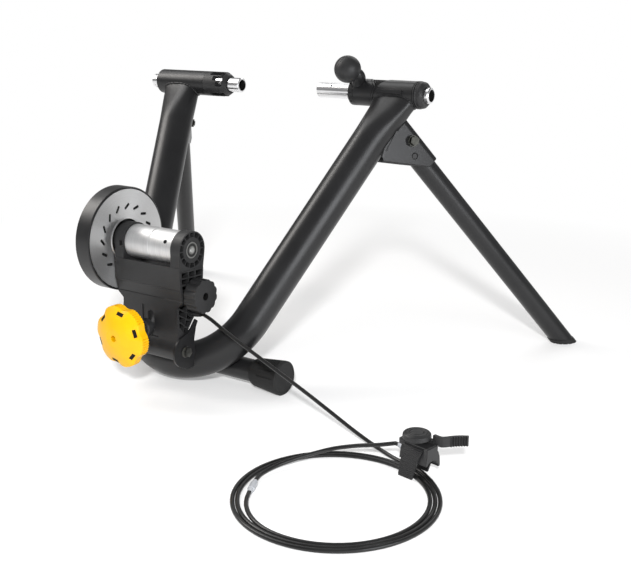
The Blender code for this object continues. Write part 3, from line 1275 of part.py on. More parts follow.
def make_remote_body(root):
    """Saddle on the bar, a cheek beside the strap, the plate over it and the boss of the cable port."""
    axis = (0, BAR_AXIS_Z)
    path = strap_path()
    under = beside(path, -STRAP_THICKNESS / 2 - STRAP_GAP)
    saddle = (arc(axis, BAR_RADIUS, 5, 141, 13) + [(under[3][0], 0.0211)] + under[4:13] + [(0.0141, 0.0150)])
    middle = (SADDLE_LEFT_X + CHEEK_END_X) / 2
    body = plate("shifter_body", saddle, CHEEK_END_X - SADDLE_LEFT_X, remote_place(middle) @ side_plane(0), root)
    cheek = box("cheek", (SADDLE_RIGHT_X, -0.0100, 0.0240), (CHEEK_END_X, 0.0105, REMOTE_BLOCK_TOP - 0.0004),
                remote_place(), root)
    round_edges(cheek, 0.0012, segments=1)
    lid = box("lid", (SADDLE_LEFT_X + 0.0010, -0.0090, REMOTE_BLOCK_TOP - 0.0012),
              (CHEEK_END_X - 0.0010, 0.0090, REMOTE_BLOCK_TOP), remote_place(), root)
    boss = box("boss", (SADDLE_LEFT_X - 0.0064, -0.0050, PORT_Z + PORT_RADIUS + 0.0008),
               (SADDLE_LEFT_X + 0.0040, 0.0050, REMOTE_BLOCK_TOP - 0.0003), remote_place(), root)
    round_edges(boss, 0.0014, segments=2)
    finish(join(body, cheek, boss, lid), "plastic_black")


def port_place(x=0):
    """Mouth line of the cable port, from the saddle's left end outward."""
    return remote_place(SADDLE_LEFT_X - SEAT_GAP - x, 0, PORT_Z) @ Matrix.Rotation(-math.pi / 2, 4, "Y")


def make_remote(root, thumb):
    """Bar clamp body with its strap, cap, thumb lever and cable port."""
    make_remote_body(root)
    make_strap(root)
    port = [(0, PORT_LENGTH), (PORT_RADIUS - 0.0012, PORT_LENGTH), (PORT_RADIUS - 0.0008, 0.0055),
            (PORT_RADIUS, 0.0050), (PORT_RADIUS, 0), (0, 0)]
    finish(turned("shifter_port", port, port_place(), root, steps=14), "plastic_grey")

    hub_low = REMOTE_BLOCK_TOP + SEAT_GAP
    hub_high = hub_low + THUMB_HUB_HEIGHT
    cap_low = hub_high + SEAT_GAP
    cap_high = cap_low + CAP_HEIGHT
    cap = [(0, cap_high), (0.0078, cap_high), (0.0083, cap_high - 0.0006), (0.0088, cap_high),
           (CAP_RADIUS - 0.0018, cap_high - 0.0003), (CAP_RADIUS - 0.0005, cap_high - 0.0012),
           (CAP_RADIUS, cap_high - 0.0030), (CAP_RADIUS, cap_low), (0, cap_low)]
    finish(turned("shifter_cap", cap, remote_place(), root, steps=20), "plastic_black")

    hub = rod("thumb_lever", THUMB_HUB_RADIUS, hub_low, hub_high, remote_place(), thumb, steps=20)
    blade_low = hub_low - 0.0012
    blade_high = hub_high + THUMB_RISE
    lift = Matrix.Translation((0, 0, (blade_low + blade_high) / 2))
    blade = plate("paddle", thumb_outline(), blade_high - blade_low, remote_place() @ lift, thumb)
    arm = box("arm", (0.0080, 0.0050, hub_low), (0.0205, 0.0108, hub_high), remote_place(), thumb)
    body_room = rod("body_room", 0.0262, 0.03, hub_low, remote_place(), thumb, steps=24)
    cut(blade, body_room)
    finish(join(hub, blade, arm), "plastic_black")


def thumb_outline():
    """Top view of the curved paddle, with thumb ribs on its near face toward the tip."""
    bends = [Vector((x, y, 0)) for x, y in ((0.0176, 0.0088), (0.0230, 0.0084), (0.0282, 0.0094),
                                            (0.0316, 0.0132), (0.0345, 0.0184), (0.0385, 0.0242),
                                            (0.0432, 0.0293), (0.0476, 0.0332))]
    route, length = smooth_route(bends, 0.0011)
    flat = [(point.x, point.y) for point in route]
    start = 0.47
    near = []
    far = []
    for i, point in enumerate(flat):
        share = i / (len(flat) - 1)
        half = blend(THUMB_SHEET / 2, 0.65 * THUMB_SHEET / 2, share)
        ribbed = max(0, (share - start) / (1 - start))
        rib = 0.0011 * (0.5 - 0.5 * math.cos(2 * math.pi * THUMB_RIBS * ribbed))
        near.append(beside(flat, -half - rib)[i])
        if i % 3 == 0 or i == len(flat) - 1:
            far.append(beside(flat, half)[i])
    return near + list(reversed(far))


# Cable

def smooth_route(points, spacing):
    """Points at an even spacing along a smooth curve through the route's own points."""
    padded = [2 * points[0] - points[1], *points, 2 * points[-1] - points[-2]]
    fine = []
    for i in range(1, len(padded) - 2):
        a, b, c, d = padded[i - 1:i + 3]
        for k in range(24):
            t = k / 24
            fine.append(0.5 * ((2 * b) + (c - a) * t + (2 * a - 5 * b + 4 * c - d) * t ** 2
                               + (3 * b - a - 3 * c + d) * t ** 3))
    fine.append(points[-1])
    total = sum((b - a).length for a, b in zip(fine, fine[1:]))
    count = max(2, round(total / spacing))
    route = [fine[0]]
    walked = 0
    target = total / count
    for a, b in zip(fine, fine[1:]):
        step = (b - a).length
        while len(route) < count and walked + step >= target * len(route) - 1e-9:
            share = (target * len(route) - walked) / step
            route.append(a + (b - a) * share)
        walked += step
    route.append(fine[-1])
    return route, total


def straight_ended(start, start_heading, middle, end, end_heading, spacing):
    """A smooth route whose two ends run straight for one cable diameter, square to what they meet."""
    straight = 2 * CABLE_RADIUS
    inner = [start + start_heading * straight, *middle, end - end_heading * straight]
    route, length = smooth_route(inner, spacing)
    return [start, *route, end], length + 2 * straight


def wire(name, points, resolution, parent, finish_name):
    curve = bpy.data.curves.new(name, "CURVE")
    curve.dimensions = "3D"
    curve.bevel_depth = CABLE_RADIUS
    curve.bevel_resolution = resolution
    curve.use_fill_caps = True
    spline = curve.splines.new("POLY")
    spline.points.add(len(points) - 1)
    for target, point in zip(spline.points, points):
        target.co = (*point, 1)
    curve.materials.append(material(finish_name))
    return made_object(name, curve, Matrix(), parent)


def coil_point(sweep):
    """Flat spiral that winds inward clockwise, dips in at its end and rises to the barrel's height."""
    total = 2 * math.pi * COIL_TURNS
    dip_sweep = math.radians(50)
    late = max(0, (sweep - total + dip_sweep) / dip_sweep)
    radius = COIL_RADIUS - COIL_PITCH * sweep / (2 * math.pi) - COIL_DIP * late ** 2
    a = COIL_START - sweep
    rise = (BARREL_RADIUS - CABLE_RADIUS) * smooth_step(late * 1.3)
    return Vector((COIL_X + radius * math.cos(a), COIL_Y + radius * math.sin(a),
                   SEAT_GAP + CABLE_RADIUS + rise))


def coil_points():
    """The coil's points, with a straight length at both ends along the spiral's own heading there."""
    total = 2 * math.pi * COIL_TURNS
    count = round(COIL_LOOP_POINTS * COIL_TURNS)
    points = [coil_point(total * i / count) for i in range(count + 1)]
    step = 0.001
    first = (coil_point(0) - coil_point(step)).normalized()
    last = (coil_point(total) - coil_point(total - step)).normalized()
    straight = 2 * CABLE_RADIUS
    return [points[0] + first * straight, *points, points[-1] + last * straight]


def least_gap(points, diameter):
    """Least space between passes of the coil, measured on its points."""
    skip = COIL_LOOP_POINTS // 2
    nearest = min((a - b).length for i, a in enumerate(points) for b in points[i + skip:])
    return nearest - diameter


LEAD_ROUTE = [(0.0860, -0.2868, 0.1085), (0.1100, -0.2890, 0.0985),
              (0.1570, -0.2932, 0.0805), (0.2440, -0.3010, 0.0490), (0.2870, -0.3050, 0.0325),
              (0.3300, -0.3095, 0.0160), (0.3620, -0.3145, 0.0068), (0.3870, -0.3210, 0.0031),
              (0.4060, -0.3275, 0.0028), (0.4214, -0.3330, 0.0028), (0.4394, -0.3378, 0.0028)]
TAIL_ROUTE = [(0.2935, -0.4470, 0.0046), (0.2975, -0.4230, 0.0062), (0.3120, -0.3955, 0.0100),
              (0.3360, -0.3680, 0.0160), (0.3620, -0.3540, 0.0215), (0.3860, -0.3470, 0.0262)]


def make_cable(root):
    coil = coil_points()
    print(f"least gap between the coil's loops: {1000 * least_gap(coil[1:-1], 2 * CABLE_RADIUS):.2f} mm")
    wire("cable_coil", coil, 1, root, "cable_black")

    into_coil = (coil[1] - coil[0]).normalized()
    gland_face = Vector((GLAND_END_X + SEAT_GAP, GLAND_Y, GLAND_Z))
    middle = [Vector(point) for point in LEAD_ROUTE]
    lead, lead_length = straight_ended(gland_face, Vector((1, 0, 0)), middle,
                                       coil[0] - into_coil * SEAT_GAP, into_coil, 0.0140)
    wire("cable_lead", lead, 2, root, "cable_black")

    heading = (coil[-1] - coil[-2]).normalized()
    start = coil[-1] + heading * SEAT_GAP
    turn = heading.to_track_quat("Z", "Y").to_matrix().to_4x4()
    place = Matrix.Translation(start) @ turn
    end = BARREL_LENGTH
    profile = [(0, end), (BARREL_RADIUS - 0.001, end), (BARREL_RADIUS - 0.0006, end - 0.006),
               (BARREL_RADIUS, end - 0.0065), (BARREL_RADIUS, 0.0065), (BARREL_RADIUS - 0.0006, 0.006),
               (BARREL_RADIUS - 0.001, 0), (0, 0)]
    finish(turned("cable_barrel", profile, place, root, steps=14), "plastic_grey")

    leave = start + heading * (BARREL_LENGTH + SEAT_GAP)
    port_end = port_place(PORT_LENGTH + SEAT_GAP).translation
    into_port = (remote_place(1).translation - remote_place(0).translation).normalized()
    middle = [Vector(point) for point in TAIL_ROUTE]
    tail, tail_length = straight_ended(leave, heading, middle, port_end, into_port, 0.0140)
    wire("cable_tail", tail, 2, root, "cable_black")
    coil_length = sum((b - a).length for a, b in zip(coil, coil[1:]))
    whole = lead_length + coil_length + tail_length + BARREL_LENGTH
    print(f"cable: lead {lead_length:.3f}, coil {coil_length:.3f}, tail {tail_length:.3f}, all {whole:.3f} m")


def main():
    clear_scene()
    root = empty("trainer", Matrix())
    root.location = (AXLE_MIDDLE_X, AXLE_MIDDLE_Y, 0)
    make_main_frame(root)
    make_sleeves(root)
    make_crossbar(root)
    make_pivot_bracket(root)
    make_pivot_bolt(root)
    for side, word in ((-1, "left"), (1, "right")):
        make_rear_foot(root, side, f"rear_foot_{word}")
        make_leg_bracket(root, side, f"leg_bracket_{word}")
        make_bracket_plug(root, side, f"bracket_plug_{word}")
        make_leg_bolt(root, side, f"leg_bolt_{word}")
        hinge = empty(f"leg_{word}_hinge", leg_place(side), root)
        make_leg(hinge, root, side, f"leg_{word}")
        make_leg_foot(hinge, root, side, f"leg_foot_{word}")

    make_left_clamp(empty("left_rod_slide", at_axle(-LEFT_ROD_INNER_X), root),
                    empty("left_collar_turn", at_axle(-COLLAR_INNER_X), root))
    plunger = empty("plunger_slide", at_axle(RIGHT_ROD_INNER_X), root)
    make_right_clamp(plunger, empty("lever_turn", at_axle(LEVER_RING_X), plunger))

    unit = empty("unit_tilt", along_x(0, PIVOT_Y, PIVOT_Z), root)
    spin = empty("roller_spin", at_roller(), unit)
    make_housing(unit)
    make_roller(spin, unit)
    make_flywheel(spin)
    make_magnets(unit, empty("magnet_turn", at_roller(), unit))
    make_side_knob(unit, empty("side_knob_turn", along_x(0, SIDE_KNOB_Y, SIDE_KNOB_Z), unit))
    make_gland(unit)
    core = empty("tension_slide", along_rear(0, 0, BOLT_Z), root)
    make_tension(root, core, empty("tension_turn", along_rear(0, 0, BOLT_Z), core))

    make_remote(root, empty("thumb_turn", remote_place(), root))
    make_cable(root)


main()
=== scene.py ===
"""Magnetic bike trainer: fine shapes, materials, cable, floor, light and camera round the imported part.

Model axes: +X to the lever side, +Y forward, +Z up. The frame's middle plane is X = 0, the axle line is Y = 0
and the floor is Z = 0 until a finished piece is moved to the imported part's place. All sizes are in metres.
"""

import math

import bmesh
import bpy
from mathutils import Matrix, Vector


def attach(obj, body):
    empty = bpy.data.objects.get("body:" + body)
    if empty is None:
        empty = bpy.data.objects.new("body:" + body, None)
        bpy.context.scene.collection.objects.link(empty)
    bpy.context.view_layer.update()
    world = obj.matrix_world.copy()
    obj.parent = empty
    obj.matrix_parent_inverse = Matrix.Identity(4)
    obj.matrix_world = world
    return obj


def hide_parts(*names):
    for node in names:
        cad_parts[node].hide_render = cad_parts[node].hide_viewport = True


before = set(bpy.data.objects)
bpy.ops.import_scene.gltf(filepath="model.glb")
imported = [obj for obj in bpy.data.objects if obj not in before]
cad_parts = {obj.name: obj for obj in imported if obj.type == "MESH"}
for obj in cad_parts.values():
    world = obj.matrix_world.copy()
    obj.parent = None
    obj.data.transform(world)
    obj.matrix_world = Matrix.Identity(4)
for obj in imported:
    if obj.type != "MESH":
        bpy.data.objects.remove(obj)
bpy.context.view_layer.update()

# Where the axle line's middle lies, seen from the centre of the object's footprint
AXLE_MIDDLE_X = -0.0355
AXLE_MIDDLE_Y = 0.0792

# Clearances
SEAT_GAP = 0.0003
BORE_GAP = 0.0004
RUNNING_GAP = 0.0006
# Thickness of the black skin that paints the shade inside holes
SHADE_SKIN = 0.0003

# Bolts through two cheeks
BOLT_WASHER = 0.0014
BOLT_HEAD = 0.0050
BOLT_NUT = 0.0058
BOLT_TIP = 0.0075

# U frame: one bent tube that leans back from the axle line
AXLE_HEIGHT = 0.3945
FRAME_LEAN = math.radians(53.24)
BEND_AXIS_Z = 0.0314
FRAME_TUBE_RADIUS = 0.026
FRAME_TUBE_WALL = 0.002
ARM_TOP_X = 0.2068
ARM_SPLAY = math.radians(15.27)
ARM_TOP_HALF_WIDTH = 0.031
ARM_TOP_HALF_DEPTH = 0.0142
ARM_CORNER_FLARE = 0.0035
ARM_CORNER_LENGTH = 0.024
ARM_FLARE_LENGTH = 0.085
ARM_FLARE_STEPS = 20
BEND_STEPS = 44
FRAME_SIDES = 96

# The tube's length and the bend's place follow from the axle height and the lean
FRAME_LENGTH = (AXLE_HEIGHT - BEND_AXIS_Z) / math.sin(FRAME_LEAN)
BEND_AXIS_Y = -FRAME_LENGTH * math.cos(FRAME_LEAN)

# Axle clamps
SLEEVE_RADIUS = 0.01945
SLEEVE_OUTER_X = ARM_TOP_X + 0.0282
LEFT_SLEEVE_OUTER_X = ARM_TOP_X + 0.0425
LEFT_SLEEVE_INNER_X = ARM_TOP_X - 0.0570
ROD_RADIUS = 0.0112
CUP_RADIUS = 0.0086
CUP_DEPTH = 0.020
RIGHT_ROD_INNER_X = ARM_TOP_X - 0.1398
RIGHT_ROD_OUTER_X = SLEEVE_OUTER_X + 0.0220
ROD_END_HOLE_RADIUS = 0.0086
LEFT_ROD_INNER_X = ARM_TOP_X - 0.1238
LEFT_ROD_OUTER_X = LEFT_SLEEVE_OUTER_X + 0.0190
COLLAR_INNER_X = ARM_TOP_X - 0.1005
COLLAR_TAPER_X = ARM_TOP_X - 0.0920
COLLAR_NOSE_RADIUS = 0.0150
CAM_TIP_X = ARM_TOP_X - 0.0310
CAM_TIP_ANGLE = 150
CAM_COLLAR_X = ARM_TOP_X - 0.0698
# Angle from the cam's tip over the top, and how far back each edge lies there. The second table is the edge
# of the dead-black pieces that paint the shade in the cam's notches
COLLAR_CAM = ((-180, 0.0240), (-155, 0.0220), (-101, 0.0100), (0, 0), (100, 0.0240), (180, 0.0240))
NOTCH_SHADE_CAM = ((-180, 0.0198), (-155, 0.0198), (-101, 0.0100), (0, 0), (110, 0.0198), (180, 0.0198))
SLEEVE_CAM = ((-180, 0.0198), (-155, 0.0198), (-101, 0.0100), (0, 0), (79, -0.0180), (130, 0), (180, 0.0198))
CAM_GAP = 0.0006
CAM_ROUNDING = 0.0009
# How far the dead-black shade pieces sit inside the sleeve's radius
NOTCH_SHADE_STEP = 0.0007
CAM_SIDES = 144
END_CAP_LENGTH = 0.0142
RIDGE_PITCH = 0.0042
ROD_BORE = ROD_RADIUS + BORE_GAP
LEVER_RING_X = CAM_COLLAR_X - 0.0095
RING_MIDDLE_X = (LEVER_RING_X + CAM_COLLAR_X) / 2
# Middle of the lever's arm from the ring's, and its radius there
LEVER_BENDS = ((0.0080, -0.0085, 0.0105, 0.0098), (0.0112, -0.0118, 0.0165, 0.0098),
               (0.0134, -0.0148, 0.0218, 0.0095), (0.0134, -0.0185, 0.0262, 0.0090),
               (0.0098, -0.0225, 0.0296, 0.0085), (0.0050, -0.0262, 0.0325, 0.0070))
BALL_X = RING_MIDDLE_X + 0.0018
BALL_Y = -0.0276
BALL_Z = 0.0339
BALL_RADIUS = 0.0195

# Folding legs
HINGE_ALONG_ARM = 0.0473
HINGE_OFFSET = 0.0473
LEG_PLANE_OFFSET = 0.0026
LEG_TURN = math.radians(60.06)
LEG_ANGLE = math.radians(78.6)
LEG_RADIUS = 0.0157
LEG_WALL = 0.0016
LEG_AXIS_OFFSET = 0.0032
LEG_TIP_HEIGHT = 0.0045
FOOT_TOP_HEIGHT = 0.0070
FOOT_WALL = 0.0004
BRACKET_SHEET = 0.0018
BRACKET_BOLT_RADIUS = 0.0040
# Half width of the channel's room, its back's distance from the hinge, and half of its back's flat
BRACKET_INNER = LEG_RADIUS + BORE_GAP
BRACKET_BACK = LEG_RADIUS - LEG_AXIS_OFFSET + BORE_GAP
CHANNEL_FLAT = 0.0085
PLUG_X = 0.0182
PLUG_Y = -0.0122
PLUG_RADIUS = 0.0042

# Rear crossbar and its rubber feet
CROSSBAR_Y = BEND_AXIS_Y + 0.0412
CROSSBAR_RADIUS = 0.015875
CROSSBAR_WALL = 0.0016
CROSSBAR_HALF_LENGTH = 0.160
REAR_FOOT_RADIUS = 0.0243
REAR_FOOT_AXIS_Z = 0.0235
REAR_FOOT_LENGTH = 0.0520
REAR_FOOT_END = 0.0060
REAR_FOOT_CONE = 0.0042
REAR_FOOT_RIBS = 11
REAR_FOOT_RIB_PITCH = 0.0032

# Pivot of the resistance unit on the frame
PIVOT_Y = BEND_AXIS_Y - 0.0348
PIVOT_Z = BEND_AXIS_Z + 0.0306
PIVOT_BOLT_RADIUS = 0.0040
PIVOT_BARREL_RADIUS = 0.0150
EAR_SHEET = 0.0030
EAR_RADIUS = 0.0220
EAR_GAP = 0.0010
HOLE_POINTS = 48

# Resistance unit housing, from its pivot
HOUSING_REAR_Y = PIVOT_Y - 0.0120
HOUSING_SET_BACK = 0.0030
HOUSING_LOW_REAR_Y = HOUSING_REAR_Y + HOUSING_SET_BACK
HOUSING_TOP_Z = PIVOT_Z + 0.1200
HOUSING_CREASE_Z = PIVOT_Z + 0.0890
HOUSING_LOW_TOP_Z = PIVOT_Z + 0.0730
HOUSING_HALF_WIDTH = 0.0600
HOUSING_LOW_HALF_WIDTH = HOUSING_HALF_WIDTH - 0.0100
HOUSING_STEP_Z = PIVOT_Z + 0.0630
HOUSING_STEP_HEIGHT = 0.0090
HOUSING_WALL = 0.0040
RIB_SHEET = 0.0022
RIB_FALL = 0.0120
POCKET_STEPS = 10
CAVITY_HALF_WIDTH = 0.0200
YOKE_OUTER_X = HOUSING_HALF_WIDTH - 0.0007
YOKE_WIDTH = 0.0160
YOKE_INNER_X = YOKE_OUTER_X - YOKE_WIDTH
YOKE_RING_RADIUS = 0.0257
RING_CELL_COUNT = 14
SLOT_HALF_WIDTH = 0.0060
RECESS_DEPTH = 0.0014

# Roller, its shaft and bearings
ROLLER_Y = PIVOT_Y + 0.0149
ROLLER_Z = PIVOT_Z + 0.1405
ROLLER_RADIUS = 0.0235
SHAFT_RADIUS = 0.0040
BEARING_RADIUS = 0.0110
BEARING_WIDTH = 0.0070

# Flywheel and the magnets that it turns past
FLYWHEEL_FACE_X = -YOKE_OUTER_X - 0.0020
FLYWHEEL_RADIUS = 0.0730
FLYWHEEL_WIDTH = 0.0260
FLYWHEEL_RIM_WALL = 0.0028
FLYWHEEL_END_WALL = 0.0050
FACE_THICKNESS = 0.0030
FACE_BORE_RADIUS = 0.0285
VENT_COUNT = 16
VENT_RADIUS = 0.0458
VENT_LENGTH = 0.0114
VENT_WIDTH = 0.0044
VENT_SLANT = math.radians(-48)
VENT_PHASE = math.radians(18.5)

# Side knob and cable gland
SIDE_KNOB_Y = PIVOT_Y + 0.0145
SIDE_KNOB_Z = PIVOT_Z + 0.0795
SIDE_KNOB_RADIUS = 0.0235
SIDE_KNOB_LENGTH = 0.0190
SIDE_KNOB_FLUTES = 12
SIDE_KNOB_FLUTE_DEPTH = 0.0019
SIDE_KNOB_FLUTE_POINTS = 14
SIDE_KNOB_HOLE_RADIUS = 0.0054
SIDE_BOLT_RADIUS = 0.0040
GLAND_Y = PIVOT_Y + 0.0200
GLAND_Z = PIVOT_Z + 0.0510
GLAND_RADIUS = 0.0050
GLAND_END_X = HOUSING_LOW_HALF_WIDTH + 0.0170

# Tension bolt and knob
BOLT_Z = PIVOT_Z + 0.0305
BOLT_RADIUS = 0.0040
KNOB_REAR_Y = HOUSING_REAR_Y - 0.0680
KNOB_RIM_Y = KNOB_REAR_Y + 0.0122
KNOB_BASE_Y = KNOB_REAR_Y + 0.0230
CORE_NOSE_RADIUS = 0.0070
CORE_RADIUS = 0.0125
CORE_STEM_RADIUS = 0.0090
KNOB_RADIUS = 0.0425
KNOB_WALL = 0.0028
KNOB_LOBES = 6
KNOB_LOBE_POINTS = 72
KNOB_SCALLOP = 0.0042
KNOB_PHASE = math.radians(18.6)

# Remote shifter that lies on the floor beside the trainer
REMOTE_X = 0.4350
REMOTE_Y = -0.3430
REMOTE_YAW = math.radians(-10)
BAR_AXIS_Z = 0.0140
BAR_RADIUS = 0.0113
SADDLE_LEFT_X = -0.0160
SADDLE_RIGHT_X = 0.0172
CHEEK_END_X = 0.0230
REMOTE_BLOCK_TOP = 0.0421
STRAP_THICKNESS = 0.0022
STRAP_GAP = 0.0004
STRAP_WIDTH = 0.0265
STRAP_LOW_WIDTH = 0.0200
STRAP_LEAN = 0.0110
STRAP_RIB = 0.0005
STRAP_RIB_PITCH = 0.0022
STRAP_SPACING = 0.0004
CAP_RADIUS = 0.0165
CAP_HEIGHT = 0.0072
THUMB_HUB_RADIUS = 0.0095
THUMB_HUB_HEIGHT = 0.0041
THUMB_RISE = 0.0065
THUMB_SHEET = 0.0042
THUMB_RIBS = 7
THUMB_RIB_START = 0.47
THUMB_BENDS = ((0.0176, 0.0088), (0.0230, 0.0084), (0.0282, 0.0094), (0.0316, 0.0132), (0.0345, 0.0184),
               (0.0385, 0.0242), (0.0432, 0.0293), (0.0476, 0.0332))
PORT_RADIUS = 0.0040
PORT_LENGTH = 0.0095
PORT_Z = 0.0296

# Cable from the unit to the remote
CABLE_RADIUS = 0.0025
CABLE_STRAIGHT = 2 * CABLE_RADIUS
COIL_X = 0.3906
COIL_Y = -0.4438
COIL_RADIUS = 0.1146
COIL_PITCH = 0.0056
COIL_TURNS = 61 / 24
COIL_START = math.radians(48)
COIL_SWEEP = 2 * math.pi * COIL_TURNS
COIL_LOOP_POINTS = 72
COIL_DIP = 0.0060
COIL_DIP_SWEEP = math.radians(50)
BARREL_RADIUS = 0.0040
BARREL_LENGTH = 0.0260

FRAME_DOWN = Vector((0, -math.cos(FRAME_LEAN), -math.sin(FRAME_LEAN)))
FRAME_BACK = Vector((0, -math.sin(FRAME_LEAN), math.cos(FRAME_LEAN)))
BEND_RADIUS = ((ARM_TOP_X - math.tan(ARM_SPLAY) * FRAME_LENGTH)
               / (1 / math.cos(ARM_SPLAY) - math.tan(ARM_SPLAY)))
BEND_CENTRE = FRAME_LENGTH - BEND_RADIUS

# Pieces are made as free objects, then finished: moved, shaded, dressed and given to their CAD body

# Finishes that the record's slots have under a coarser name
SLOTS = {"faced_aluminium": "machined_aluminium", "drum_aluminium": "machined_aluminium",
         "dark_steel": "zinc_steel", "grey_steel": "zinc_steel", "bearing_steel": "zinc_steel",
         "bright_steel": "zinc_steel", "deep_black": "plastic_black"}
SHAPE_SUFFIX = "_shape"
SHARP_ANGLE = math.radians(30)
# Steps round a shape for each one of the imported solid, which keeps hexagons as they are
FINE = 3


def fine(steps):
    return steps if steps <= 6 else steps * FINE


def linked(name, data):
    obj = bpy.data.objects.new(name, data)
    bpy.context.scene.collection.objects.link(obj)
    return obj


def made_object(name, data, matrix=Matrix()):
    obj = linked(name + SHAPE_SUFFIX, data)
    obj.matrix_world = matrix
    return obj


def remove(obj):
    bpy.data.objects.remove(obj, do_unlink=True)


def evaluated(obj):
    """The object's mesh with its curve settings and modifiers worked in."""
    bpy.context.view_layer.update()
    graph = bpy.context.evaluated_depsgraph_get()
    return bpy.data.meshes.new_from_object(obj.evaluated_get(graph), depsgraph=graph)


def bake(obj):
    mesh = evaluated(obj)
    obj.modifiers.clear()
    obj.data = mesh
    return obj


def boolean(obj, others, operation):
    for other in others:
        step = obj.modifiers.new(operation.lower(), "BOOLEAN")
        step.operation = operation
        step.solver = "EXACT"
        step.object = other
    bake(obj)
    for other in others:
        remove(other)
    return obj


def cut(obj, *cutters):
    return boolean(obj, cutters, "DIFFERENCE")


def join(obj, *others):
    return boolean(obj, others, "UNION")


def finish(obj, finish_name, body="frame", edge=0.0):
    """Round the edges, shade smooth, give the material and let the piece ride and stand for its node."""
    obj.data.transform(at(AXLE_MIDDLE_X, AXLE_MIDDLE_Y, 0) @ obj.matrix_world)
    obj.matrix_world = Matrix()
    if edge:
        round_edges(obj, edge, angle=35)
    obj.data.materials.clear()
    obj.data.materials.append(MATERIALS[finish_name])
    obj.data.shade_smooth()
    obj.data.set_sharp_from_angle(angle=SHARP_ANGLE)
    obj.modifiers.new("weighted", "WEIGHTED_NORMAL").keep_sharp = True
    bake(obj)
    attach(obj, body)
    name = obj.name.removesuffix(SHAPE_SUFFIX)
    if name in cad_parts:
        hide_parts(name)
    SLOTS.get(finish_name, finish_name)
    return obj


# Materials

def feed(made, key, value):
    """Give a node's input a value, or the socket that feeds it."""
    socket = made.inputs[key]
    if isinstance(value, bpy.types.NodeSocket):
        socket.id_data.links.new(value, socket)
    else:
        socket.default_value = value


def node(tree, kind, inputs=(), **settings):
    """Outputs of a new node with the settings and inputs given."""
    made = tree.nodes.new(kind)
    for name, value in settings.items():
        setattr(made, name, value)
    for key, value in dict(inputs).items():
        feed(made, key, value)
    return made.outputs


def start_material(name, roughness, metallic=0.0, specular=0.5):
    made = bpy.data.materials.new(name)
    made.use_nodes = True
    shader = made.node_tree.nodes["Principled BSDF"]
    feed(shader, "Roughness", roughness)
    feed(shader, "Metallic", metallic)
    feed(shader, "Specular IOR Level", specular)
    return made, made.node_tree, shader


def place_vector(tree, scale=(1, 1, 1), offset=(0, 0, 0)):
    place = node(tree, "ShaderNodeTexCoord")["Object"]
    return node(tree, "ShaderNodeMapping", {"Vector": place, "Scale": scale, "Location": offset})["Vector"]


def noise(tree, vector, scale, detail, roughness):
    return node(tree, "ShaderNodeTexNoise", {"Vector": vector, "Scale": scale, "Detail": detail,
                                             "Roughness": roughness})["Fac"]


def ranged(tree, value, low, high, from_low=0.3, from_high=0.7):
    return node(tree, "ShaderNodeMapRange", {"Value": value, "From Min": from_low, "From Max": from_high,
                                             "To Min": low, "To Max": high})["Result"]


def mixed(tree, value, first, second):
    """Colour between two; the colour sockets of a mix node are told apart by their numbers."""
    return node(tree, "ShaderNodeMix", {0: value, 6: (*first, 1), 7: (*second, 1)}, data_type="RGBA")[2]


def calculated(tree, operation, first, second):
    return node(tree, "ShaderNodeMath", {0: first, 1: second}, operation=operation)["Value"]


def bumped(tree, shader, value, height):
    bump = node(tree, "ShaderNodeBump", {"Height": value, "Distance": height, "Strength": 1.0})
    feed(shader, "Normal", bump["Normal"])


def dressed(tree, shader, tones, tone, rough, gloss, relief, height):
    """Tone, gloss and relief of a surface, each led by a pattern."""
    feed(shader, "Base Color", mixed(tree, ranged(tree, tone, 0, 1), *tones))
    feed(shader, "Roughness", ranged(tree, gloss, *rough))
    bumped(tree, shader, relief, height)


def moulded(name, tones, rough, patch, grain, height, metallic=0.0, specular=0.5):
    """Coated or moulded surface: slow change of tone and gloss, and a fine grain."""
    made, tree, shader = start_material(name, sum(rough) / 2, metallic, specular)
    place = place_vector(tree)
    slow = noise(tree, place, patch, 3.0, 0.6)
    dressed(tree, shader, tones, slow, rough, slow, noise(tree, place, grain, 2.0, 0.5), height)
    return made


def turned_metal(name, tones, rough, lines, height, metallic):
    """Metal that was turned on a lathe: fine lines round the X axis and a slow change of gloss."""
    made, tree, shader = start_material(name, sum(rough) / 2, metallic)
    grooves = noise(tree, place_vector(tree, (lines, 6.0, 6.0)), 1.0, 3.0, 0.7)
    slow = noise(tree, place_vector(tree), 22.0, 3.0, 0.6)
    dressed(tree, shader, tones, grooves, rough, slow, grooves, height)
    return made


def roller_distance(tree):
    """Distance from the roller's axis."""
    across = place_vector(tree, (0, 1, 1), (0.0, -(ROLLER_Y + AXLE_MIDDLE_Y), -ROLLER_Z))
    return node(tree, "ShaderNodeVectorMath", {0: across}, operation="LENGTH")["Value"]


def faced_metal(name, tones, rough, rings, height, metallic, anisotropic):
    """Disc that was faced on a lathe: fine rings round its centre."""
    made, tree, shader = start_material(name, sum(rough) / 2, metallic)
    feed(shader, "Anisotropic", anisotropic)
    tangent = node(tree, "ShaderNodeTangent", direction_type="RADIAL", axis="X")
    feed(shader, "Tangent", tangent["Tangent"])
    spread = node(tree, "ShaderNodeTexNoise", {"W": roller_distance(tree), "Scale": rings, "Detail": 3.0},
                  noise_dimensions="1D")["Fac"]
    dressed(tree, shader, tones, spread, rough, spread, spread, height)
    return made


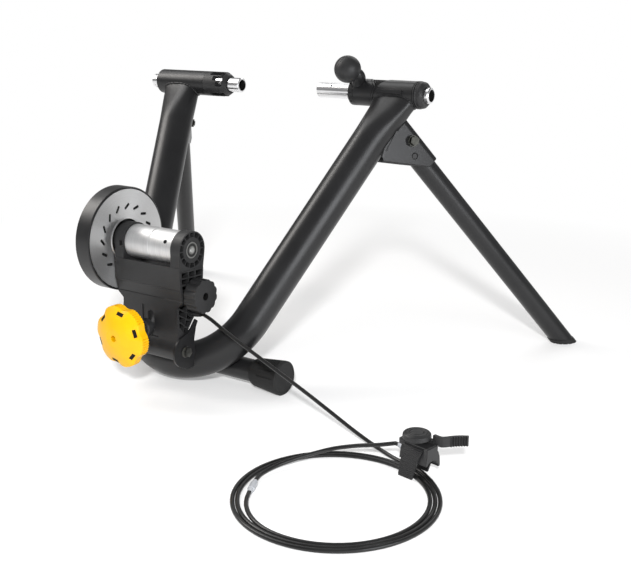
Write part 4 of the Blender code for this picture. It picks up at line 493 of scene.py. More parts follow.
def bearing_metal(name, steel, seal):
    """Steel races with a dark seal between them, told apart by the distance from the roller's axis."""
    made, tree, shader = start_material(name, 0.3, 1.0)
    distance = roller_distance(tree)
    inside = ranged(tree, distance, 0, 1, SHAFT_RADIUS + 0.0014, SHAFT_RADIUS + 0.0018)
    outside = ranged(tree, distance, 1, 0, BEARING_RADIUS - 0.0019, BEARING_RADIUS - 0.0015)
    sealed = calculated(tree, "MULTIPLY", inside, outside)
    feed(shader, "Base Color", mixed(tree, sealed, steel, seal))
    feed(shader, "Metallic", ranged(tree, sealed, 1, 0, 0, 1))
    grain = noise(tree, place_vector(tree), 900.0, 2.0, 0.5)
    feed(shader, "Roughness", ranged(tree, grain, 0.26, 0.36))
    bumped(tree, shader, grain, 0.00001)
    return made


# Two tones, roughness range, patches and grains for each metre, grain height, and metallic or specular
MOULDED = {
    "powder_coat_black": (((0.007, 0.007, 0.0075), (0.011, 0.011, 0.0115)), (0.30, 0.38), 14.0, 1400.0,
                          0.00003, 0.0, 0.42),
    "plastic_black": (((0.012, 0.012, 0.0125), (0.018, 0.018, 0.0185)), (0.40, 0.50), 40.0, 2600.0,
                      0.00004, 0.0, 0.40),
    "rubber_black": (((0.009, 0.009, 0.009), (0.015, 0.015, 0.015)), (0.62, 0.76), 60.0, 1800.0,
                     0.00007, 0.0, 0.35),
    # The three steel rows below are one zinc steel in three tones: the first is darkened to paint shade on
    # bolts and nuts in their recesses, the second lightened to paint the pivot bolt's glints
    "dark_steel": (((0.045, 0.045, 0.040), (0.10, 0.10, 0.09)), (0.36, 0.48), 90.0, 1500.0, 0.00002, 1.0),
    "grey_steel": (((0.16, 0.16, 0.15), (0.36, 0.36, 0.34)), (0.28, 0.40), 90.0, 1500.0, 0.00002, 1.0),
    "bright_steel": (((0.50, 0.50, 0.49), (0.68, 0.68, 0.67)), (0.22, 0.34), 90.0, 1500.0, 0.00001, 1.0),
    "plastic_yellow": (((0.66, 0.34, 0.0), (0.73, 0.39, 0.0)), (0.36, 0.46), 30.0, 1200.0, 0.00002,
                       0.0, 0.35),
    # Dead black with little gloss: painted shade, used on the skins, discs and pieces that darken holes,
    # slots, notches and the room behind the vents
    "deep_black": (((0.004, 0.004, 0.004), (0.008, 0.008, 0.008)), (0.60, 0.75), 60.0, 1800.0, 0.00003,
                   0.0, 0.2),
    "magnet_nickel": (((0.50, 0.49, 0.47), (0.60, 0.59, 0.57)), (0.24, 0.34), 60.0, 900.0, 0.00002, 1.0),
    "cable_black": (((0.006, 0.006, 0.006), (0.011, 0.011, 0.011)), (0.28, 0.38), 30.0, 900.0, 0.00003,
                    0.0, 0.42),
    "plastic_grey": (((0.30, 0.31, 0.33), (0.40, 0.41, 0.43)), (0.34, 0.46), 60.0, 1800.0, 0.00003),
    "webbing_black": (((0.008, 0.008, 0.0085), (0.016, 0.016, 0.0165)), (0.50, 0.65), 120.0, 1600.0,
                      0.00008, 0.0, 0.4)}
# Two tones, roughness range, lines for each metre, line height and metallic
TURNED = {
    "machined_aluminium": (((0.78, 0.78, 0.79), (0.86, 0.86, 0.87)), (0.18, 0.24), 2600.0, 0.0000003, 1.0),
    "drum_aluminium": (((0.56, 0.56, 0.56), (0.80, 0.80, 0.80)), (0.42, 0.47), 2200.0, 0.000002, 0.85)}
MATERIALS = {name: moulded(name, *values) for name, values in MOULDED.items()}
MATERIALS.update((name, turned_metal(name, *values)) for name, values in TURNED.items())
MATERIALS["faced_aluminium"] = faced_metal("faced_aluminium", ((0.62, 0.62, 0.62), (0.80, 0.80, 0.80)),
                                           (0.28, 0.34), 2600.0, 0.00001, 0.95, 0.75)
MATERIALS["bearing_steel"] = bearing_metal("bearing_steel", (0.34, 0.34, 0.33), (0.006, 0.006, 0.006))


# Placing helpers: matrices that stand a local Z axis or plane where it belongs

def at(x, y, z):
    return Matrix.Translation((x, y, z))


def rotation(angle, axis):
    return Matrix.Rotation(angle, 4, axis)


def turn_left(side, axis):
    """Half a turn on the left side, none on the right."""
    return rotation(math.pi if side < 0 else 0, axis)


def along_x(x=0, y=0, z=0):
    return at(x, y, z) @ rotation(math.pi / 2, "Y")


def along_rear(x=0, y=0, z=0):
    """Local Z points to -Y."""
    return at(x, y, z) @ rotation(math.pi / 2, "X")


def side_plane(x=0):
    """Local X is model Y, local Y is model Z and local Z is model X."""
    return Matrix(((0, 0, 1, x), (1, 0, 0, 0), (0, 1, 0, 0), (0, 0, 0, 1)))


def at_axle(x=0):
    return along_x(x, 0, AXLE_HEIGHT)


def round_axle(angle, x=0):
    """On the axle line, turned about it by an angle in degrees."""
    return at(x, 0, AXLE_HEIGHT) @ rotation(math.radians(angle), "X")


def at_roller(x=0):
    return along_x(x, ROLLER_Y, ROLLER_Z)


# Outlines

def blend(start, end, share):
    return start + (end - start) * share


def smooth_step(value):
    value = min(max(value, 0), 1)
    return value * value * (3 - 2 * value)


def polar(radius, angle, centre=(0, 0)):
    return centre[0] + radius * math.cos(angle), centre[1] + radius * math.sin(angle)


def turns(count, offset=0):
    """Angles of even steps round a full turn."""
    return [2 * math.pi * (i + offset) / count for i in range(count)]


def arc(centre, radius, start, end, points):
    """Points along a circle between two angles in degrees."""
    count = (points - 1) * FINE
    return [polar(radius, math.radians(start + (end - start) * i / count), centre) for i in range(count + 1)]


def smooth_route(points, spacing):
    """Points at an even spacing along a smooth curve through the route's own points."""
    ends = [2 * points[0] - points[1], *points, 2 * points[-1] - points[-2]]
    steps = 24
    curve = []
    for a, b, c, d in zip(ends, ends[1:], ends[2:], ends[3:]):
        for t in (k / steps for k in range(steps)):
            curve.append(0.5 * ((2 * b) + (c - a) * t + (2 * a - 5 * b + 4 * c - d) * t ** 2
                                + (3 * b - a - 3 * c + d) * t ** 3))
    curve.append(points[-1])
    total = sum((b - a).length for a, b in zip(curve, curve[1:]))
    count = max(2, round(total / spacing))
    route = [curve[0]]
    walked = 0
    target = total / count
    for a, b in zip(curve, curve[1:]):
        step = (b - a).length
        while len(route) < count and walked + step >= target * len(route) - 1e-9:
            route.append(a + (b - a) * ((target * len(route) - walked) / step))
        walked += step
    return route + [curve[-1]]


def beside(path, offset):
    """A path moved sideways by an offset, to the left of its direction."""
    moved = []
    for i, point in enumerate(path):
        along = (Vector(path[min(len(path) - 1, i + 1)]) - Vector(path[max(0, i - 1)])).normalized()
        moved.append((point[0] - along.y * offset, point[1] + along.x * offset))
    return moved


# Shape helpers

def from_bmesh(name, bm, matrix=Matrix()):
    bmesh.ops.recalc_face_normals(bm, faces=bm.faces)
    mesh = bpy.data.meshes.new(name)
    bm.to_mesh(mesh)
    bm.free()
    return made_object(name, mesh, matrix)


def ringed(name, rings, matrix=Matrix(), inner=None, closed=False):
    """Skin between rings of points: capped ends, an inner skin, or rings that close on themselves."""
    bm = bmesh.new()

    def strip(low, high):
        for i in range(len(low)):
            j = (i + 1) % len(low)
            bm.faces.new((low[i], low[j], high[j], high[i]))

    def skin(loops):
        made = [[bm.verts.new(point) for point in loop] for loop in loops]
        for low, high in zip(made, made[1:] + made[:1] if closed else made[1:]):
            strip(low, high)
        return made[0], made[-1]

    ends = skin(rings)
    if inner:
        for outer_loop, inner_loop in zip(ends, skin(inner)):
            strip(outer_loop, inner_loop)
    elif not closed:
        for loop in ends:
            bm.faces.new(loop)
    return from_bmesh(name, bm, matrix)


def turned(name, profile, matrix, hollow=False, steps=20):
    """Profile points (radius, height) run down the outer side; a hollow one closes up its inner side."""
    edges = [(i, i + 1) for i in range(len(profile) - 1)]
    if hollow:
        edges.append((len(profile) - 1, 0))
    mesh = bpy.data.meshes.new(name)
    mesh.from_pydata([(radius, 0, height) for radius, height in profile], edges, [])
    obj = made_object(name, mesh, matrix)
    screw = obj.modifiers.new("turn", "SCREW")
    screw.axis = "Z"
    screw.angle = 2 * math.pi
    screw.steps = screw.render_steps = fine(steps)
    screw.use_merge_vertices = True
    screw.merge_threshold = 0.00001
    return bake(obj)


def rod(name, radius, low, high, matrix, steps=14):
    profile = [(0, high), (radius, high), (radius, low), (0, low)]
    return turned(name, profile, matrix, steps=steps)


def pipe(name, outer, bore, low, high, matrix, steps=22):
    profile = [(outer, high), (outer, low), (bore, low), (bore, high)]
    return turned(name, profile, matrix, hollow=True, steps=steps)


def hole_shade_lining(name, radius, floor, mouth, matrix, body):
    """Dead-black skin on a hole's wall and floor: painted shade inside the hole."""
    skin = SHADE_SKIN if mouth > floor else -SHADE_SKIN
    profile = [(0, floor + skin), (radius - SHADE_SKIN, floor + skin), (radius - SHADE_SKIN, mouth), (radius, mouth),
               (radius, floor), (0, floor)]
    finish(turned(name, profile, matrix, steps=16), "deep_black", body)


def spline_through(curve, points):
    spline = curve.splines.new("POLY")
    spline.points.add(len(points) - 1)
    for target, point in zip(spline.points, points):
        target.co = (*point, 1)
    return spline


def mesh_of(curve):
    shape = made_object("shape", curve)
    mesh = evaluated(shape)
    remove(shape)
    return mesh


def round_curve(name, points, radius, resolution):
    """Round cord along its centre points."""
    curve = bpy.data.curves.new(name, "CURVE")
    curve.dimensions = "3D"
    curve.bevel_depth = radius
    curve.bevel_resolution = resolution
    curve.use_fill_caps = True
    return curve, spline_through(curve, points)


def plate(name, outline, thickness, matrix, holes=()):
    """A flat outline in the local XY plane, as thick on both sides of it, made a welded mesh."""
    curve = bpy.data.curves.new(name, "CURVE")
    curve.dimensions = "2D"
    curve.fill_mode = "BOTH"
    curve.extrude = thickness / 2
    curve.resolution_u = 1
    for loop in (outline, *holes):
        spline_through(curve, [(*point, 0) for point in loop]).use_cyclic_u = True
    bm = bmesh.new()
    bm.from_mesh(mesh_of(curve))
    bmesh.ops.remove_doubles(bm, verts=bm.verts, dist=1e-6)
    return from_bmesh(name, bm, matrix)


def box(name, low, high, matrix=Matrix()):
    bm = bmesh.new()
    bmesh.ops.create_cube(bm, size=1)
    bmesh.ops.scale(bm, vec=Vector(high) - Vector(low), verts=bm.verts)
    bmesh.ops.translate(bm, vec=(Vector(high) + Vector(low)) / 2, verts=bm.verts)
    return from_bmesh(name, bm, matrix)


def together(name, objects):
    """Several separate solids as one object, such as a pattern of cutters or a set of magnets."""
    bpy.context.view_layer.update()
    bm = bmesh.new()
    for obj in objects:
        part = obj.data.copy()
        part.transform(obj.matrix_world)
        bm.from_mesh(part)
        remove(obj)
    return from_bmesh(name, bm)


def round_edges(obj, width, segments=2, angle=40):
    step = obj.modifiers.new("round", "BEVEL")
    step.width = width
    step.segments = segments
    step.limit_method = "ANGLE"
    step.angle_limit = math.radians(angle)
    return bake(obj)


# U frame

def frame_point(x, along):
    return Vector((x, 0, AXLE_HEIGHT)) + FRAME_DOWN * along


def frame_stations():
    """Centre, direction and two half sizes of the tube, from the right top round to the left top."""
    direction = arm_direction(1)
    top = frame_point(ARM_TOP_X, 0)
    plain = (FRAME_TUBE_RADIUS, FRAME_TUBE_RADIUS)
    right = []
    for i in range(ARM_FLARE_STEPS + 1):
        length = (i / ARM_FLARE_STEPS) ** 1.5 * ARM_FLARE_LENGTH
        share = smooth_step(length / ARM_FLARE_LENGTH)
        width = (blend(ARM_TOP_HALF_WIDTH, FRAME_TUBE_RADIUS, share)
                 + ARM_CORNER_FLARE * max(0, 1 - length / ARM_CORNER_LENGTH) ** 2)
        right.append((top + direction * length, direction, width,
                      blend(ARM_TOP_HALF_DEPTH, FRAME_TUBE_RADIUS, share)))
    arm_length = (BEND_CENTRE + BEND_RADIUS * math.sin(ARM_SPLAY)) / math.cos(ARM_SPLAY)
    right.append((top + direction * arm_length, direction, *plain))
    bend = []
    for i in range(1, BEND_STEPS):
        a = ARM_SPLAY + (math.pi - 2 * ARM_SPLAY) * i / BEND_STEPS
        centre = frame_point(BEND_RADIUS * math.cos(a), BEND_CENTRE + BEND_RADIUS * math.sin(a))
        bend.append((centre, Vector((-math.sin(a), 0, 0)) + FRAME_DOWN * math.cos(a), *plain))
    left = [(Vector((-centre.x, centre.y, centre.z)), Vector((heading.x, -heading.y, -heading.z)), *sizes)
            for centre, heading, *sizes in reversed(right)]
    return right + bend + left


def pressed(angle, width, depth, grow=0.0):
    """Point of the tube's section: round, and squarer where the tube is pressed flat."""
    flat = (FRAME_TUBE_RADIUS - depth) / (FRAME_TUBE_RADIUS - ARM_TOP_HALF_DEPTH)
    power = 2 / (2 + 1.1 * flat)
    return [math.copysign(abs(share) ** power, share) * (half + grow)
            for share, half in ((math.cos(angle), width), (math.sin(angle), depth))]


def frame_rings(grow):
    rings = []
    for centre, heading, width, depth in frame_stations():
        across = heading.cross(FRAME_BACK)
        section = [pressed(a, width, depth, grow) for a in turns(FRAME_SIDES, 0.5)]
        rings.append([centre + across * u + FRAME_BACK * v for u, v in section])
    return rings


def frame_clearance():
    """The frame tube grown by a seat gap, to cope what is welded on it."""
    return ringed("frame_clearance", frame_rings(SEAT_GAP))


def make_main_frame():
    tube = ringed("main_frame", frame_rings(0), inner=frame_rings(-FRAME_TUBE_WALL))
    rooms = [rod("sleeve_room", SLEEVE_RADIUS + SEAT_GAP, -0.05, 0.05, at_axle(side * ARM_TOP_X), steps=22)
             for side in (-1, 1)]
    finish(cut(tube, *rooms), "powder_coat_black")


def make_crossbar():
    bar = pipe("rear_crossbar", CROSSBAR_RADIUS, CROSSBAR_RADIUS - CROSSBAR_WALL,
               -CROSSBAR_HALF_LENGTH, CROSSBAR_HALF_LENGTH, along_x(0, CROSSBAR_Y, REAR_FOOT_AXIS_Z))
    finish(cut(bar, frame_clearance()), "powder_coat_black")


def make_rear_foot(side, name):
    """Rubber boot over the end of the crossbar: tapered mouth, flutes, ribs, closed end and flat sole."""
    bore = CROSSBAR_RADIUS + SEAT_GAP
    tip = CROSSBAR_HALF_LENGTH + SEAT_GAP
    end = tip + REAR_FOOT_END
    mouth = CROSSBAR_HALF_LENGTH - REAR_FOOT_LENGTH + 0.0080
    radius = REAR_FOOT_RADIUS
    profile = [(0, end - 0.0006), (radius - REAR_FOOT_CONE, end - 0.0006), (radius - 0.0036, end),
               (radius - 0.0018, end), (radius, end - 0.0016), (radius, end - 0.0060),
               (radius - REAR_FOOT_CONE, mouth + 0.0050), (bore + 0.0016, mouth), (bore, mouth), (bore, tip),
               (0, tip)]
    middle = at(0, CROSSBAR_Y, REAR_FOOT_AXIS_Z)
    place = middle @ turn_left(side, "Z") @ along_x()
    foot = turned(name, profile, place, steps=22)
    lean = at(-radius - 0.0002, 0, end) @ rotation(math.radians(-5.6), "Y")
    flutes = [box("flute", (-0.0007, -0.0009, -0.034), (0.0007, 0.0009, -0.006),
                  place @ rotation(-side * math.radians(angle) + (math.pi if side < 0 else 0), "Z") @ lean)
              for angle in (-78, -52, 30, 52, 78)]
    ribs = together("ribs", [
        pipe("rib", radius + 0.003, radius - 0.0010 - REAR_FOOT_CONE * i / REAR_FOOT_RIBS,
             end - 0.0072 - REAR_FOOT_RIB_PITCH * i, end - 0.0060 - REAR_FOOT_RIB_PITCH * i, place)
        for i in range(REAR_FOOT_RIBS)])
    cut(ribs, box("rib_room", (-0.3, -0.1, -0.1), (0.3, 0.1, 0.017), middle))
    cut(foot, ribs)
    sole = box("sole", (-0.3, -0.1, -0.05), (0.3, 0.1, 0), at(0, CROSSBAR_Y, 0))
    finish(cut(foot, together("flutes", flutes), sole), "rubber_black")


def bead(name, points, radius):
    """Closed weld bead with ripples along its centre points."""
    curve, spline = round_curve(name, points, radius, 3)
    for i, point in enumerate(spline.points):
        point.radius = 1 + 0.22 * math.sin(i * math.pi / 3)
    spline.use_cyclic_u = True
    return made_object(name, mesh_of(curve))


def make_arm_weld(side, name):
    """Bead round the joint of the pressed arm and its sleeve."""
    direction = arm_direction(side)
    across = direction.cross(FRAME_BACK)
    points = []
    for a in turns(180, 0.5):
        u, v = pressed(a, ARM_TOP_HALF_WIDTH + 0.0004, ARM_TOP_HALF_DEPTH + 0.0012)
        fall = math.sqrt(SLEEVE_RADIUS ** 2 - v ** 2) - u * across.dot(FRAME_DOWN)
        points.append(frame_point(side * ARM_TOP_X, 0) + across * u + FRAME_BACK * v
                      + direction * (fall / direction.dot(FRAME_DOWN)))
    weld = bead(name, points, 0.0014)
    if side > 0:
        # The cam collar turns past the bead
        cut(weld, cam_tube("collar_room", lambda angle: CAM_COLLAR_X, cam_edge(NOTCH_SHADE_CAM, CAM_GAP / 2),
                           SLEEVE_RADIUS + 0.004, ROD_RADIUS))
    finish(weld, "powder_coat_black")


# Folding legs

def arm_direction(side):
    return Vector((-side * math.sin(ARM_SPLAY), 0, 0)) + FRAME_DOWN * math.cos(ARM_SPLAY)


def leg_place(side):
    """Matrix on the hinge: local X down the leg, local Y outward, local Z along the hinge bolt."""
    arm = arm_direction(side)
    outward = Vector((side * math.cos(ARM_SPLAY), 0, 0)) + FRAME_DOWN * math.sin(ARM_SPLAY)
    apart = outward * math.cos(LEG_TURN) - FRAME_BACK * math.sin(LEG_TURN)
    bolt = arm.cross(apart)
    leg = arm * math.cos(LEG_ANGLE) + apart * math.sin(LEG_ANGLE)
    hinge = (frame_point(side * ARM_TOP_X, 0) + arm * HINGE_ALONG_ARM + apart * HINGE_OFFSET
             + bolt * side * LEG_PLANE_OFFSET)
    over = bolt.cross(leg)
    place = Matrix((leg, over, bolt)).transposed().to_4x4()
    place.translation = hinge
    return place


def leg_length(place):
    """From the hinge down the leg's axis to the floor."""
    return (place @ Vector((0, -LEG_AXIS_OFFSET, 0))).z / -(place.to_3x3() @ Vector((1, 0, 0))).z


def leg_tube(place):
    """Local Z down the leg's axis."""
    return place @ at(0, -LEG_AXIS_OFFSET, 0) @ rotation(math.pi / 2, "Y")


def make_leg_bracket(side, word):
    """Folded sheet channel welded to the arm: two cheeks and a back that stops the leg."""
    place = leg_place(side)
    back = BRACKET_BACK + BRACKET_SHEET
    half_width = BRACKET_INNER + BRACKET_SHEET
    outline = [(-0.59 * HINGE_OFFSET, back), (0.97 * HINGE_OFFSET, back)]
    outline += [(x * HINGE_OFFSET, y * HINGE_OFFSET)
                for x, y in ((1.004, -0.085), (0.486, -0.554), (-0.19, -1.146), (-0.40, -1.057),
                             (-0.53, -0.825), (-0.655, -0.169))]
    channel = plate(f"leg_bracket_{word}", outline, 2 * half_width, place)
    round_edges(channel, 0.0022, segments=3, angle=60)
    boolean(channel, [channel_section("bend", back, half_width, place)], "INTERSECT")
    room = channel_section("leg_room", BRACKET_BACK, BRACKET_INNER, place)
    bolt_hole = rod("bolt_hole", BRACKET_BOLT_RADIUS + BORE_GAP, -0.03, 0.03, place)
    plug_hole = rod("plug_hole", PLUG_RADIUS + 0.0008, 0, 0.03, place @ at(PLUG_X, PLUG_Y, 0))
    finish(cut(channel, room, frame_clearance(), bolt_hole, plug_hole), "powder_coat_black", edge=0.0004)
    strip = [(-0.0254, -0.0068), (-0.0162, -0.0375), (-0.0187, -0.0411), (-0.0286, -0.0102)]
    finish(plate(f"bracket_weld_{word}", strip, 0.0022, place @ at(0, 0, side * half_width)),
           "powder_coat_black", edge=0.0006)
    # Painted shade: a thin dead-black disc on the cheek that darkens the hinge's hole
    spot = at(-0.0028, -0.0030, side * half_width)
    finish(rod(f"hinge_hole_{word}", 0.0080, -0.0002, 0.0002, place @ spot), "deep_black")


def channel_section(name, back, half_width, place):
    """Long block as wide as the channel whose back is rounded like the leg that it holds."""
    bend = half_width - CHANNEL_FLAT
    outline = [(-0.1, half_width)] + arc((back - bend, half_width - bend), bend, 0, 90, 6)[::-1]
    outline += [(y, -z) for y, z in reversed(outline)]
    return plate(name, outline, 0.3, place @ side_plane())


def through_bolt(name, radius, half_grip, across, place, finish_name):
    """Bolt through two cheeks: washer and hex head on the +Z side, hex nut and bolt tip on the other."""
    washer_end = half_grip + BOLT_WASHER
    profile = [(0, washer_end), (across + 0.0010, washer_end), (across + 0.0010, half_grip),
               (radius, half_grip), (radius, -half_grip - BOLT_TIP), (0, -half_grip - BOLT_TIP)]
    bolt = turned(name, profile, place, steps=12)
    turn = place @ rotation(math.radians(11), "Z")
    head = rod("head", across, half_grip + BOLT_WASHER / 2, washer_end + BOLT_HEAD, turn, steps=6)
    nut = rod("nut", across, -half_grip - BOLT_NUT, -half_grip, turn, steps=6)
    finish(join(bolt, head, nut), finish_name)


def make_leg_bolt(side, name):
    """Hinge bolt whose head is on the cheek that faces the rear."""
    # Darker steel: painted shade on the bolt in its recess
    through_bolt(name, BRACKET_BOLT_RADIUS, BRACKET_INNER + BRACKET_SHEET + SEAT_GAP, 0.0070,
                 leg_place(side) @ turn_left(side, "X"), "dark_steel")


def make_leg(side, name):
    """Leg tube with a rounded top that turns inside the bracket and a foot cut along the floor."""
    place = leg_place(side)
    tube = pipe(name, LEG_RADIUS, LEG_RADIUS - LEG_WALL, -0.03, leg_length(place) + 0.04, leg_tube(place),
                steps=18)
    corner = [(-0.06, 0.04), (0, 0.04), *arc((0, 0), BRACKET_BACK - BORE_GAP, 90, 180, 7),
              (-0.0095, -0.0195), (-0.06, -0.04)]
    above = plate("top_corner", corner, 0.1, place)
    below = box("floor_cut", (-1, -1, -0.2), (1, 1, LEG_TIP_HEIGHT))
    # The top's corners clear the channel's rounded back as the leg folds
    bend = BRACKET_INNER - CHANNEL_FLAT
    centre = (BRACKET_BACK - bend, CHANNEL_FLAT)
    corner = [polar(bend - SEAT_GAP, math.pi / 2 * i / 16, centre) for i in range(17)]
    corner += [(BRACKET_BACK - bend, 0.02), (0.03, 0.02), (0.03, CHANNEL_FLAT)]
    rounds = []
    for flip in (0, math.pi):
        ring = turned("top_round", corner, place @ rotation(flip, "X"), hollow=True)
        quarter = box("quarter", (-0.04, -0.0100, -0.03), (0, 0.04, 0.03), place)
        rounds.append(boolean(ring, [quarter], "INTERSECT"))
    bolt_hole = rod("bolt_hole", BRACKET_BOLT_RADIUS + BORE_GAP, -0.03, 0.03, place)
    finish(cut(tube, above, below, bolt_hole, *rounds), "powder_coat_black", name)


def make_leg_foot(side, word):
    """Thin rubber shoe round the leg's slanted end, with a flat ribbed sole on the floor."""
    place = leg_place(side)
    length = leg_length(place)
    span = 3 * LEG_RADIUS
    shoe = rod(f"leg_foot_{word}", LEG_RADIUS + SEAT_GAP + FOOT_WALL, length - span, length + span,
               leg_tube(place), steps=18)
    room = rod("leg_room", LEG_RADIUS + SEAT_GAP, length - 2 * span, length + 2 * span, leg_tube(place),
               steps=18)
    cut(room, box("room_floor", (-1, -1, -0.2), (1, 1, LEG_TIP_HEIGHT - SEAT_GAP)))
    above = box("above", (-1, -1, FOOT_TOP_HEIGHT), (1, 1, 0.4))
    below = box("below", (-1, -1, -0.2), (1, 1, 0))
    centre = place @ Vector((length, -LEG_AXIS_OFFSET, 0))
    sole = at(centre.x, centre.y, 0) @ rotation(side * math.radians(50), "Z")
    pitch = 0.57 * LEG_RADIUS
    grooves = [box("groove", (i * pitch - 0.0009, -0.03, -0.01), (i * pitch + 0.0009, 0.03, 0.0009), sole)
               for i in range(-2, 3)]
    finish(cut(shoe, room, above, below, together("grooves", grooves)), "rubber_black", f"leg_{word}")


# Axle clamps

def cam_edge(table, shift=0):
    """Axial place of a cam edge as a function of the angle in degrees round the axle line."""
    def place(angle):
        away = (CAM_TIP_ANGLE - angle + 180) % 360 - 180
        for (low, drop_low), (high, drop_high) in zip(table, table[1:]):
            if low <= away <= high:
                return CAM_TIP_X - shift - blend(drop_low, drop_high, (away - low) / (high - low))
    return place


def cam_tube(name, left_edge, right_edge, radius, bore):
    """Tube round the axle line whose ends follow cam edges."""
    rings = []
    for size, edge in ((radius, right_edge), (radius, left_edge), (bore, left_edge), (bore, right_edge)):
        rings.append([(edge(360 * i / CAM_SIDES), *polar(size, a, (0, AXLE_HEIGHT)))
                      for i, a in enumerate(turns(CAM_SIDES))])
    return ringed(name, rings, closed=True)


def make_sleeves():
    finish(pipe("left_axle_sleeve", SLEEVE_RADIUS, ROD_BORE, -LEFT_SLEEVE_OUTER_X, -LEFT_SLEEVE_INNER_X,
                at_axle(), steps=28), "powder_coat_black")
    finish(cam_tube("right_axle_sleeve", cam_edge(SLEEVE_CAM), lambda angle: SLEEVE_OUTER_X, SLEEVE_RADIUS,
                    ROD_BORE), "powder_coat_black", edge=CAM_ROUNDING)
    # Painted shade: a dead-black piece under the sleeve's notch
    finish(cam_tube("cam_insert", cam_edge(NOTCH_SHADE_CAM), lambda angle: CAM_TIP_X + 0.0240,
                    SLEEVE_RADIUS - NOTCH_SHADE_STEP, ROD_BORE + 0.0004), "deep_black")
    finish(box("sleeve_bar", (CAM_TIP_X + 0.0010, -0.0030, SLEEVE_RADIUS - 0.001),
               (CAM_TIP_X + 0.0440, 0.0030, SLEEVE_RADIUS + 0.0022), round_axle(76)),
           "powder_coat_black", edge=0.0010)
    low = SLEEVE_OUTER_X + SEAT_GAP
    high = low + END_CAP_LENGTH
    # Radius over the sleeve's, and place from the cap's outer or inner end
    cap = [(SLEEVE_RADIUS + more, high + x) for more, x in (
        (-0.0052, 0), (-0.0040, -0.0002), (-0.0012, -0.0030), (-0.0006, -0.0050))]
    cap += [(SLEEVE_RADIUS + more, low + x) for more, x in (
        (-0.0004, 0.0058), (0.0002, 0.0052), (0.0002, 0.0040), (-0.0010, 0.0036), (-0.0010, 0.0026),
        (0.0002, 0.0022), (0.0002, 0.0006), (-0.0008, 0))]
    cap += [(ROD_BORE, low), (ROD_BORE, high)]
    finish(turned("right_end_cap", cap, at_axle(), hollow=True, steps=18), "plastic_black")


def make_left_clamp():
    """Threaded cone rod and the slotted adjuster collar that turns on it."""
    inner = -LEFT_ROD_INNER_X
    outer = -LEFT_ROD_OUTER_X
    chamfer = 0.0012
    ridges = []
    for i in range(3):
        top = outer + 0.0035 + RIDGE_PITCH * (3 - i)
        ridges += [(ROD_RADIUS, top), (ROD_RADIUS - 0.0008, top - 0.0012), (ROD_RADIUS, top - 0.0024)]
    profile = [(0, inner - CUP_DEPTH), (CUP_RADIUS, inner - CUP_DEPTH), (CUP_RADIUS, inner),
               (ROD_RADIUS - chamfer, inner), (ROD_RADIUS, inner - chamfer), *ridges,
               (ROD_RADIUS, outer + chamfer), (ROD_RADIUS - chamfer, outer), (0, outer)]
    finish(turned("left_cone_rod", profile, at_axle(), steps=16), "machined_aluminium", "left_rod")
    low = -LEFT_SLEEVE_INNER_X + SEAT_GAP
    high = -COLLAR_INNER_X
    shape = [(COLLAR_NOSE_RADIUS - 0.001, high), (COLLAR_NOSE_RADIUS, high - 0.001),
             (SLEEVE_RADIUS, -COLLAR_TAPER_X), (SLEEVE_RADIUS, low), (ROD_BORE, low), (ROD_BORE, high)]
    ring = turned("left_adjuster_collar", shape, at_axle(), hollow=True, steps=22)
    # Painted shade: black skin inside the rod's cup
    hole_shade_lining("left_cup_lining", CUP_RADIUS, inner - CUP_DEPTH, inner - 0.0008, at_axle(), "left_rod")
    end = -COLLAR_TAPER_X + 0.003
    windows = [round_edges(box("window", (end - length, -half, 0.005), (end, half, 0.03),
                               round_axle(angle + 120 * i)), 0.0015, segments=3)
               for i in range(3)
               for angle, length, half in ((27, 0.0270, 0.0046), (57, 0.0190, 0.0040), (86, 0.0120, 0.0034))]
    finish(cut(ring, *windows), "plastic_black", "left_collar", edge=0.0004)


def lever_arm(name, grow):
    rings = []
    route = smooth_route([Vector(bend) for bend in LEVER_BENDS], 0.0012)
    last = len(route) - 1
    for i, (x, y, z, radius) in enumerate(route):
        heading = (route[min(i + 1, last)] - route[max(i - 1, 0)]).to_3d().normalized()
        across = heading.cross(Vector((0, 1, 0))).normalized()
        over = heading.cross(across)
        centre = Vector((RING_MIDDLE_X + x, y, AXLE_HEIGHT + z)) + heading * (grow if i == last else 0)
        rings.append([centre + (across * math.cos(a) + over * math.sin(a)) * (radius + grow)
                      for a in turns(32)])
    return ringed(name, rings)


